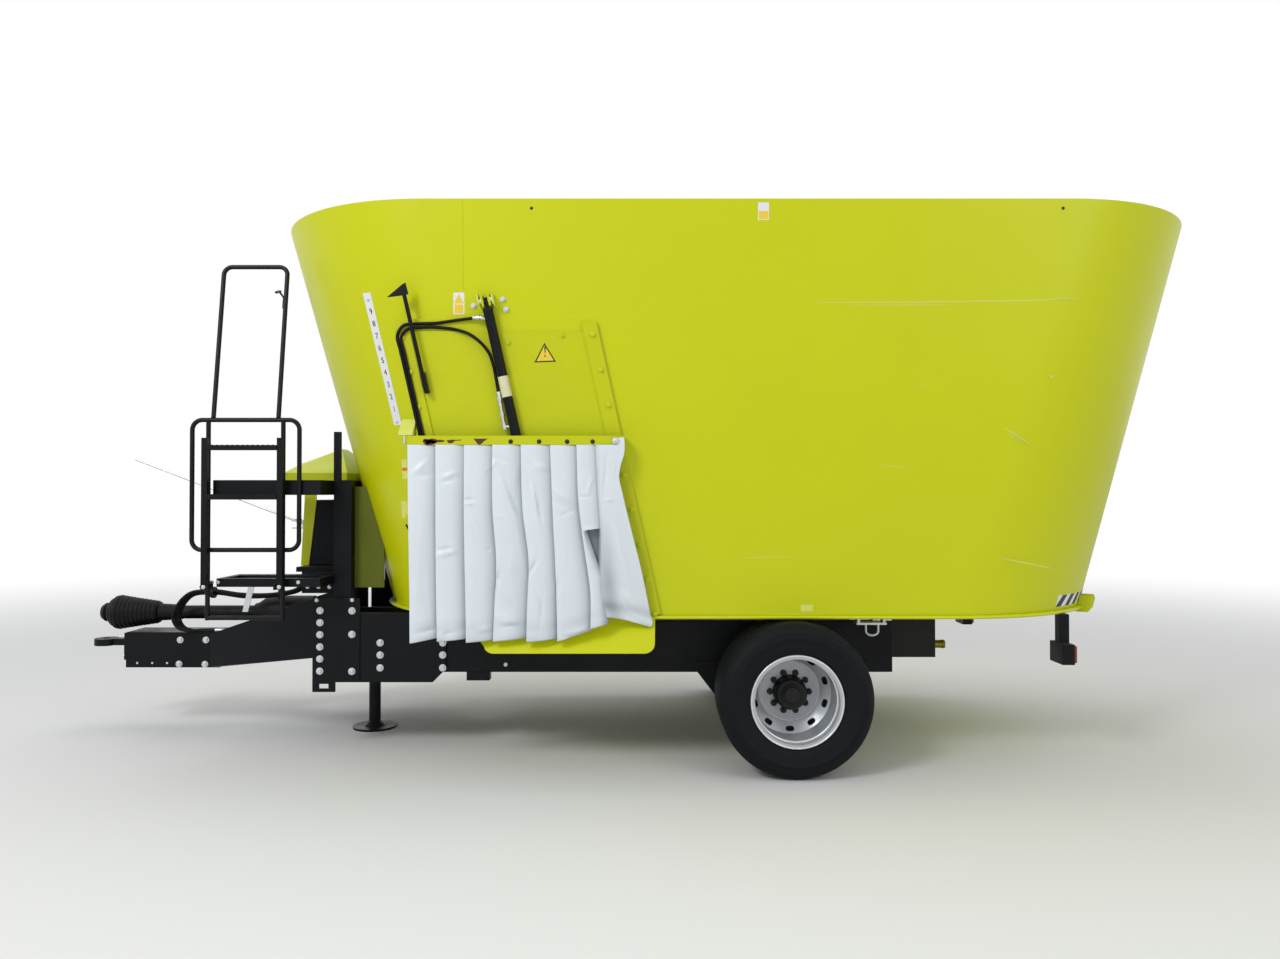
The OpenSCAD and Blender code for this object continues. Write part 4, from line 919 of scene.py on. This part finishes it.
TRIANGLE = [(-466, 1436), (-344, 1441), (-409, 1546)]
SMALL_TRIANGLE = [(-406 + (x + 406) * 0.8, 1474 + (y - 1474) * 0.8) for x, y in TRIANGLE]
MARK = [(-410, 1524), (-401, 1524), (-404, 1486), (-407, 1486)]
for row in (
        ("sign_a_sheet", rounded(-922, -859, 1707, 1829), white_plate, on_wall, 0.1),
        ("sign_a_field", [(-918, 1768), (-863, 1768), (-890.5, 1822)], sign_yellow, on_wall, 0.6),
        ("sign_a_lower", rounded(-915, -866, 1713, 1762, 5), sign_yellow, on_wall, 0.6),
        ("sign_c_sheet", rounded(-1268, -1230, 1682, 1796, 5), pale_enamel, on_side, 0.3),
        ("sign_c_band", rounded(-1266, -1232, 1730, 1748, 3), label_orange, on_side, 0.8),
        ("sign_d_sheet", rounded(-1290, -1212, 1450, 1552, 5), pale_enamel, on_side, 0.3),
        ("sign_e_sheet", rounded(1046, 1118, 22, 60, 5), pale_enamel, on_wall, 0.1),
        ("door_sign_edge", TRIANGLE, scale_black, on_wall, 11.7, "door"),
        ("door_sign_field", SMALL_TRIANGLE, sign_yellow, on_wall, 12.2, "door"),
        ("door_sign_mark", MARK, scale_black, on_wall, 12.7, "door"),
        ("door_sign_dot", rounded(-410, -401, 1468, 1477, 4), scale_black, on_wall, 12.7, "door"),
        ("upper_sign_sheet", rounded(790, 852, 2232, 2330, 5), white_plate, on_wall, 0.1),
        ("upper_sign_field", rounded(794, 848, 2236, 2282, 5), sign_yellow, on_wall, 0.6)):
    film(*row)

# Marks of use: scratches and a rub where the paint is worn pale, and the seam of the front sheet

def streak(x, y, wide):
    """Thin raised sliver along a line, pointed at both ends."""
    t = np.linspace(0, 1, 24)
    x, y = np.interp(t, np.linspace(0, 1, len(x)), x), np.interp(t, np.linspace(0, 1, len(y)), y)
    half = wide / 2 * np.sin(np.pi * t) ** 0.35
    outline = np.concatenate([np.stack([x, y + half], -1), np.stack([x, y - half], -1)[::-1]])
    return plate(outline, 0.05, 0.3, on_wall)


SCRATCHES = [((1075, 1700, 2300, 2600), (1774, 1776, 1785, 1797), 5), ((1300, 1900), (1757, 1762), 2.5),
             ((2194, 2338), (1068, 974), 7), ((2210, 2300), (1040, 985), 3), ((2440, 2462), (1366, 1350), 9),
             ((2182, 2330, 2469), (328, 300, 270), 5), ((1500, 1640), (860, 842), 2.5), ((700, 1010), (330, 338), 2.5),
             ((980, 1020), (2060, 2000), 2), ((1700, 1790), (1300, 1322), 2)]
piece("paint_scratches", joined([streak(*row) for row in SCRATCHES]), bare_scratch)
SEAM_X, HOLES = -866, [(-479.0, 2298.0), (2500.0, 2298.0)]
piece("sheet_seam", tube(on_wall(np.full(20, SEAM_X), np.linspace(1842, 2344, 20), 0.2), 2.2, 8), tub_enamel)
piece("plug_holes", joined([stepped(on_wall(x, y, -1), on_wall(x, y, 1.8), [(0, 9), (0.7, 9), (1, 6)], 20)
                            for x, y in HOLES]), black_steel)

# Hazard band round the rear corners: slanted black bars on a white band

def band(a0, a1, z0, z1, out, slope=0.0, count=16):
    """Sheet on the tub's round end between two angles; slope shifts it round as it climbs, in degrees."""
    u, v = np.linspace(0, 1, count)[:, None], np.linspace(0, 1, 4)[None, :]
    z = z0 + (z1 - z0) * v + 0 * u
    return np.stack([tub_curve(a0 + (a1 - a0) * u + slope * v, z, o) for o in (out, out + 0.5)])


def curved_plate(layers, flip):
    """Closed thin plate from two layers of the same grid."""
    low, high = layers
    rim = [np.concatenate([side[:, 0], side[-1, 1:], side[-2::-1, -1], side[0, -2:0:-1]]) for side in layers]
    edge = np.stack(rim, 1)
    parts = [grid(high, flip=flip), grid(low, flip=not flip), grid(edge, close_rows=True, flip=flip)]
    return joined(parts)


BAND_LOW, BAND_HIGH = 922.0, 992.0
for side in (-1, 1):
    name = "left" if side < 0 else "right"
    at = [curved_plate(band(side * 24, side * 53, BAND_LOW, BAND_HIGH, 0.3), side < 0)]
    piece(f"hazard_band_{name}", at, white_plate)
    bars = [curved_plate(band(side * a, side * (a + 3), BAND_LOW + 1, BAND_HIGH - 1, 0.8, -side * 2.6, 5), side < 0)
            for a in (26.8, 32.6, 38.4, 44.2, 50)]
    piece(f"hazard_bars_{name}", bars, scale_black)

# Hoses of the door cylinder, smooth along the route that the CAD holds, and their fittings

# How far the cylinder's axis and the straight run of the hoses stand off the door's bed, and knots of that run
AXIS, HOSE, RUN = 37, 28.6, (1500, 1400, 1200, 1000, 700)
DOOR_HOSES = [
    [(-66, 1683, AXIS), (-110, 1682, 24), (-211, 1672, 12), (-332, 1656, 9.4), (-436, 1652, 13), (-512, 1640, 28),
     (-560, 1584, 28.7)] + [(-562, y, HOSE) for y in RUN],
    [(-66, 1236, AXIS), (-60, 1330, AXIS), (-58, 1420, AXIS), (-66, 1484, 38), (-98, 1542, 38), (-150, 1590, 30),
     (-222, 1618, 18), (-327, 1632, 9.4), (-428, 1631, 14), (-494, 1620, 27), (-541, 1572, 28.7)]
    + [(-543, y, HOSE) for y in RUN]]
door_hose_parts = [tube(on_lean(*smooth_path(knots, 170).T), 9, 14) for knots in DOOR_HOSES]
piece("door_hoses_smooth", door_hose_parts, hose_rubber, instead_of=["door_hoses"])
FERRULE = [(0, 8), (0, 12), (0.2, 13), (0.2, 10.5), (0.45, 10.5), (0.45, 14), (0.75, 14), (0.75, 10), (1, 10)]
ELBOW = [(0, 12), (0.5, 12), (0.5, 9), (1, 9)]
VALVE = [(0, 13), (0.1, 13), (0.1, 9), (0.35, 9), (0.35, 14), (0.5, 14), (0.5, 9), (0.8, 9), (0.8, 13), (1, 13)]
FITTINGS = [((-112, 1684, 24), (-62, 1683, AXIS), FERRULE), ((-66, 1683, AXIS), (-42, 1676, AXIS), ELBOW),
            ((-64, 1270, AXIS), (-68, 1200, AXIS), FERRULE), ((-68, 1204, AXIS), (-74, 1060, AXIS), VALVE),
            ((-74, 1075, AXIS), (-44, 1075, AXIS), [(0, 9), (1, 9)])]
fittings = [stepped(on_lean(*start), on_lean(*end), rows) for start, end, rows in FITTINGS]
piece("cylinder_fittings", fittings, zinc)
tie = np.linspace(0, 2 * np.pi, 25)
ties = [tube(on_lean(-552.5 + 21 * np.cos(tie), y + 0 * tie, HOSE + 11 * np.sin(tie)), 1.6, 6)
        for y in (1480, 1180, 860)]
piece("hose_ties", ties, guard_poly)


def barrel_band(y0, y1, r):
    """Sleeve round the door cylinder between two heights."""
    return stepped(on_lean(-19, y0, AXIS), on_lean(-19, y1, AXIS), [(0, r - 1), (0, r), (1, r), (1, r - 1)], 48)


piece("barrel_label", barrel_band(1242, 1356, 28.5), pale_label)
piece("barrel_collars", joined([barrel_band(1722, 1734, 30), barrel_band(862, 884, 31)]), tube_coat)

# Chassis: bolts of the front plates, column feet, and small fixings; the right side repeats the left

PLATE_Y, COLUMN_Y = 656.0, 664.0
COLUMN_FEET = [(-1700, -1598, -664, -655.5, 442, 950)]
piece("column_feet", mirrored(blocks(COLUMN_FEET)), chassis_paint, bevel=2)
BIG_BOLTS = ([(-1846, PLATE_Y, z) for z in (874, 800, 726, 651, 577, 502)]
             + [(-1646, COLUMN_Y, z) for z in (874, 729, 502)]
             + [(x, PLATE_Y, z) for x in (-1474, -1088) for z in (676, 601, 522)])
big = studs([(x, -y, z) for x, y, z in BIG_BOLTS], LEFT, 26, 15, 1.5)
small = studs([(-1868, -PLATE_Y, 938), (-1646, -COLUMN_Y, 940), (-702, -640, 539)], LEFT, 15, 9, 1.4)
piece("plate_bolts", mirrored(joined([big, small])), zinc)
piece("beam_pads", mirrored(blocks([(-944, -801, -640, -570, 440, 493)])), chassis_paint, bevel=3)
hitch = studs([(-2963, -120, 612), (-2790, -120, 612), (-2970, -120, 451), (-2796, -120, 449)], LEFT, 26, 15, 1.5)
spare = [stepped((x, -119, 457), (x, -122, 457), [(0, 8), (1, 7)], 18) for x in (-3252, -3151, -3051)]
piece("hitch_bolts", mirrored(joined([hitch] + spare)), zinc)
eye_bolts = studs([(-3355, y, z) for y in (-75, 75) for z in (500, 632)], (-1, 0, 0), 20, 12, 1.3)
piece("eye_bolts", eye_bolts, zinc)
# Painted highlight: a grey rod along the edge of each drawbar flange
flange = stepped((-2696, -140, 655), (-1905, -520, 941), [(0, 5), (1, 5)], 10)
piece("drawbar_flange_edges", mirrored(flange), edge_highlight_paint)
piece("valve_box", blocks([(-1996, -1771, -560, -240, 971, 1105)]), chassis_paint, bevel=5)
ports = [stepped((x, -560, z), (x, -586, z), [(0, 12), (0.45, 12), (0.45, 9), (1, 9)], 18)
         for x in (-1952, -1884, -1816) for z in (1012, 1062)]
piece("valve_ports", ports, zinc)
strap = plate([(-2375, 1042), (-2333, 1042), (-2384, 838), (-2420, 838)], 424, 430, on_profile)
piece("shaft_strap", strap, zinc, bevel=1)
piece("rod_clamp", joined([blocks([(-2200, -2128, -172, -128, z0, z0 + 7) for z0 in (1362, 1411)]),
                           studs([(-2182, -150, 1418), (-2146, -150, 1418)], (0, 0, 1), 13, 8)]), zinc)
turn = np.linspace(0, 2 * np.pi, 33)
strap_ring = tube(np.stack([-2070 + 16 * np.cos(turn), -775 + 16 * np.sin(turn), 2822 + 5 * np.cos(turn)], -1), 4, 8)
tail = plate([(-2056, 2822), (-2030, 2790), (-2036, 2720), (-2046, 2722), (-2042, 2786), (-2062, 2812)], 772, 775,
             on_profile)
piece("handrail_strap", joined([strap_ring, tail]), guard_poly)
steps = studs([(-2412, -886.5, 1070), (-2377, -886.5, 1070), (-1900, -886.5, 1070)], LEFT, 14, 7, 1.4)
piece("shelf_bolts", steps, zinc)
stile_bolts = studs([(x, -956, 1048) for x in (-2432, -1988)], LEFT, 17, 9, 1.3)
piece("ladder_bolts", stile_bolts, zinc, "ladder")


def treads():
    """Two rows of round raised studs on each ladder step."""
    places = [(x, y, z) for z in (1591, 1882) for y in (-953, -935) for x in np.linspace(-2390, -2030, 13)]
    return studs(places, (0, 0, 1), 8, 2.4, 1.0)


piece("tread_studs", treads(), tube_coat, "ladder")

# Supply hoses, smooth along the CAD's route, with couplings on the hitch box, and two thin lines beside them

HITCH_TOP, TANK_X = 663.0, -2020.0


def supply_route(y, i, r):
    """Knots of one hose from the shelf over the frame and down to the hitch box; i fans the hoses out."""
    return [(TANK_X + 20, y - 30, 1094), (TANK_X - 20, y - 30, 1085), (TANK_X - 60, y - 30, 1030),
            (TANK_X - 130, y - 20, 950 + i * 8), (TANK_X - 260, y, 915 + i * 8), (TANK_X - 508, y, 900 + i * 12),
            (TANK_X - 720, y, 924 + i * 12), (TANK_X - 870, y, 905 + i * 10), (TANK_X - 930 - i * 12, y, 830),
            (TANK_X - 950 - i * 12, y, 760), (TANK_X - 925 - i * 10, y, 704), (TANK_X - 870, y, HITCH_TOP + r + 4 + i),
            (TANK_X - 800, y * 0.75, HITCH_TOP + r + 0.6), (TANK_X - 700, y * 0.7, HITCH_TOP + r + 0.6)]


hoses = [tube(smooth_path(supply_route(-118 - 23 * i, i, 10), 200), 10, 14) for i in range(3)]
hoses += [tube(smooth_path(supply_route(-95 - 9 * i, 0.4, 4), 200), 4, 8) for i in range(2)]
piece("supply_hoses_smooth", hoses, hose_rubber, instead_of=["supply_hoses"])


def spiral(path, radius, wire, pitch):
    """Helix round a path: it turns once in each pitch of the path's length, at the radius from it."""
    step = np.linalg.norm(np.diff(path, axis=0), axis=1)
    at = np.concatenate([[0], np.cumsum(step)])
    fine = np.arange(0, at[-1], pitch / 12)
    line = np.stack([np.interp(fine, at, path[:, i]) for i in range(3)], -1)
    ahead = unit(np.gradient(line, axis=0))
    side = unit(np.cross(ahead, [0, 1.0, 0]))
    up = np.cross(side, ahead)
    turn = (2 * np.pi * fine / pitch)[:, None]
    return tube(line + radius * (side * np.cos(turn) + up * np.sin(turn)), wire, 5)


guards = [spiral(smooth_path(supply_route(-118 - 23 * i, i, 10), 200)[78:176], 10.3, 1.2, 12) for i in range(3)]
piece("hose_spiral_guards", guards, guard_poly)
COUPLING = [(0, 11), (0.02, 13), (0.3, 13), (0.3, 10), (0.5, 10), (0.5, 13), (0.72, 13), (0.72, 9), (0.9, 9), (1, 8)]
ends = [stepped((TANK_X - 712, y * 0.7, HITCH_TOP + 13.5), (TANK_X - 560, y * 0.7 + 3, HITCH_TOP + 13.5), COUPLING)
        for y in (-118, -141, -164)]
piece("hose_couplings", ends, zinc)
wraps = [stepped((x, -141, z), (x + 26, -141, z + dz), [(0, 36), (0.1, 38), (0.9, 38), (1, 36)], 28)
         for x, z, dz in ((-2290, 925, -1), (-2745, 934, -1))]
piece("hose_wraps", wraps, guard_poly)
cone = [(46, -2500), (60, -2500), (64, -2480), (104, -2420), (112, -2330), (112, -2100), (104, -2096), (46, -2096)]
piece("shaft_rear_guard", lathe(cone, 64, (0, 0, SHAFT_Z), "x", closed=True, flip=True), guard_poly)

# Rear: lamps, lugs, brackets below the floor and the drain stub of the rear gearbox

AMBER = [(2689, 2696, -947, -902, 604, 700)]
RIBS = [(2689, 2692, -898, -792, z, z + 4) for z in range(606, 700, 12)]
piece("lamp_amber", mirrored(blocks(AMBER)), lamp_orange, bevel=3)
piece("lamp_ribs", mirrored(blocks(RIBS)), lamp_red, bevel=1)


def lug(degrees):
    """Upright plate that stands out from the tub's round end, its outer corners cut."""
    outline = [(0.3, 862), (70, 862), (84, 880), (84, 935), (70, 962), (0.3, 962)]
    points, faces = plate(outline, degrees - 0.35, degrees + 0.35, lambda o, z, a: tub_curve(a, z, o))
    return points, [f[:, ::-1] for f in faces]


piece("rear_lugs", joined([lug(a) for a in (-33, -26, 26, 33)]), tub_enamel, bevel=1.5)
hanger = blocks([(1435, 1615, -800, -720, 806, 818)] + [(x, x + 16, -795, -725, 817, 882) for x in (1440, 1594)])
bend = np.linspace(0, np.pi, 16)
loop = np.concatenate([[(1497, -760, 806)], np.stack([1534.5 - 37.5 * np.cos(bend), -760 + 0 * bend,
                                                      762 - 24 * np.sin(bend)], -1), [(1572, -760, 806)]])
piece("pipe_hanger", mirrored(joined([hanger, tube(loop, 8, 12)])), zinc)
stub = [(0, 34), (0.12, 34), (0.12, 27), (0.8, 27), (0.85, 30), (1, 28)]
piece("drain_stub", stepped((2098, -40, 573), (2200, -40, 573), stub, 32), brass)

# Stage and light

def stage():
    """Grey floor that fades to white from 4.5 to 16 m, a room whose light grows with height but looks white to the
    camera and in mirrors, and three softboxes."""
    floor = bpy.data.objects.new("floor", bpy.data.meshes.new("floor"))
    floor.data.from_pydata([(-60, -60, 0), (60, -60, 0), (60, 60, 0), (-60, 60, 0)], [], [(0, 1, 2, 3)])
    bpy.context.scene.collection.objects.link(floor)
    material = bpy.data.materials.new("studio_floor")
    material.use_nodes = True
    tree = material.node_tree
    tree.nodes.remove(tree.nodes["Principled BSDF"])
    matt = add(tree, "BsdfDiffuse", {"Color": linear("#E4E5E6")})
    white = add(tree, "Emission", {"Color": (1, 1, 1, 1), "Strength": 1.0})
    place = add(tree, "TexCoord").outputs["Object"]
    far = add(tree, "VectorMath", {0: place}, operation="LENGTH")
    fade = add(tree, "MapRange", {"Value": far.outputs["Value"], "From Min": 4.5, "From Max": 16.0},
               interpolation_type="SMOOTHSTEP")
    seen = add(tree, "LightPath").outputs["Is Camera Ray"]
    share = add(tree, "Math", {0: fade, 1: seen}, operation="MULTIPLY")
    mixed = add(tree, "MixShader", {0: share, 1: matt, 2: white})
    tree.links.new(mixed.outputs[0], tree.nodes["Material Output"].inputs["Surface"])
    floor.data.materials.append(material)

    world = bpy.data.worlds.new("studio_room")
    bpy.context.scene.world = world
    world.use_nodes = True
    tree = world.node_tree
    light = tree.nodes["Background"]
    direction = add(tree, "TexCoord").outputs["Generated"]
    height = add(tree, "SeparateXYZ", {0: direction}).outputs["Z"]
    sky = add(tree, "MapRange", {"Value": height, "From Min": -0.2, "From Max": 0.9,
                                           "To Min": 0.38, "To Max": 0.68})
    path = add(tree, "LightPath")
    seen = add(tree, "Math", {0: path.outputs["Is Camera Ray"], 1: path.outputs["Is Glossy Ray"]},
               operation="MAXIMUM")
    seen = add(tree, "Math", {0: seen, 1: path.outputs["Is Transmission Ray"]},
               operation="MAXIMUM")
    strength = add(tree, "Mix", {0: seen, 2: sky, 3: 1.0})
    tree.links.new(strength.outputs[0], light.inputs["Strength"])
    light.inputs["Color"].default_value = (1, 1, 1, 1)

    for name, place, aim, size, power in (
            ("key_softbox", (-5.5, -8.0, 7.5), (0.3, 0, 1.2), (2.6, 2.4), 400),
            ("fill_softbox", (6.5, -7.0, 5.0), (0.8, 0, 1.0), (3.0, 3.0), 90),
            ("top_softbox", (0.5, 1.0, 9.0), (0.5, 0, 0), (7.0, 4.0), 200)):
        lamp = bpy.data.lights.new(name, "AREA")
        lamp.shape = "RECTANGLE"
        lamp.size, lamp.size_y = size
        lamp.energy = power
        obj = bpy.data.objects.new(name, lamp)
        bpy.context.scene.collection.objects.link(obj)
        obj.location = place
        away = np.array(place, float) - np.array(aim, float)
        flat = math.hypot(away[0], away[1])
        obj.rotation_euler = (math.atan2(flat, away[2]), 0, math.atan2(away[1], away[0]) + math.pi / 2)


stage()
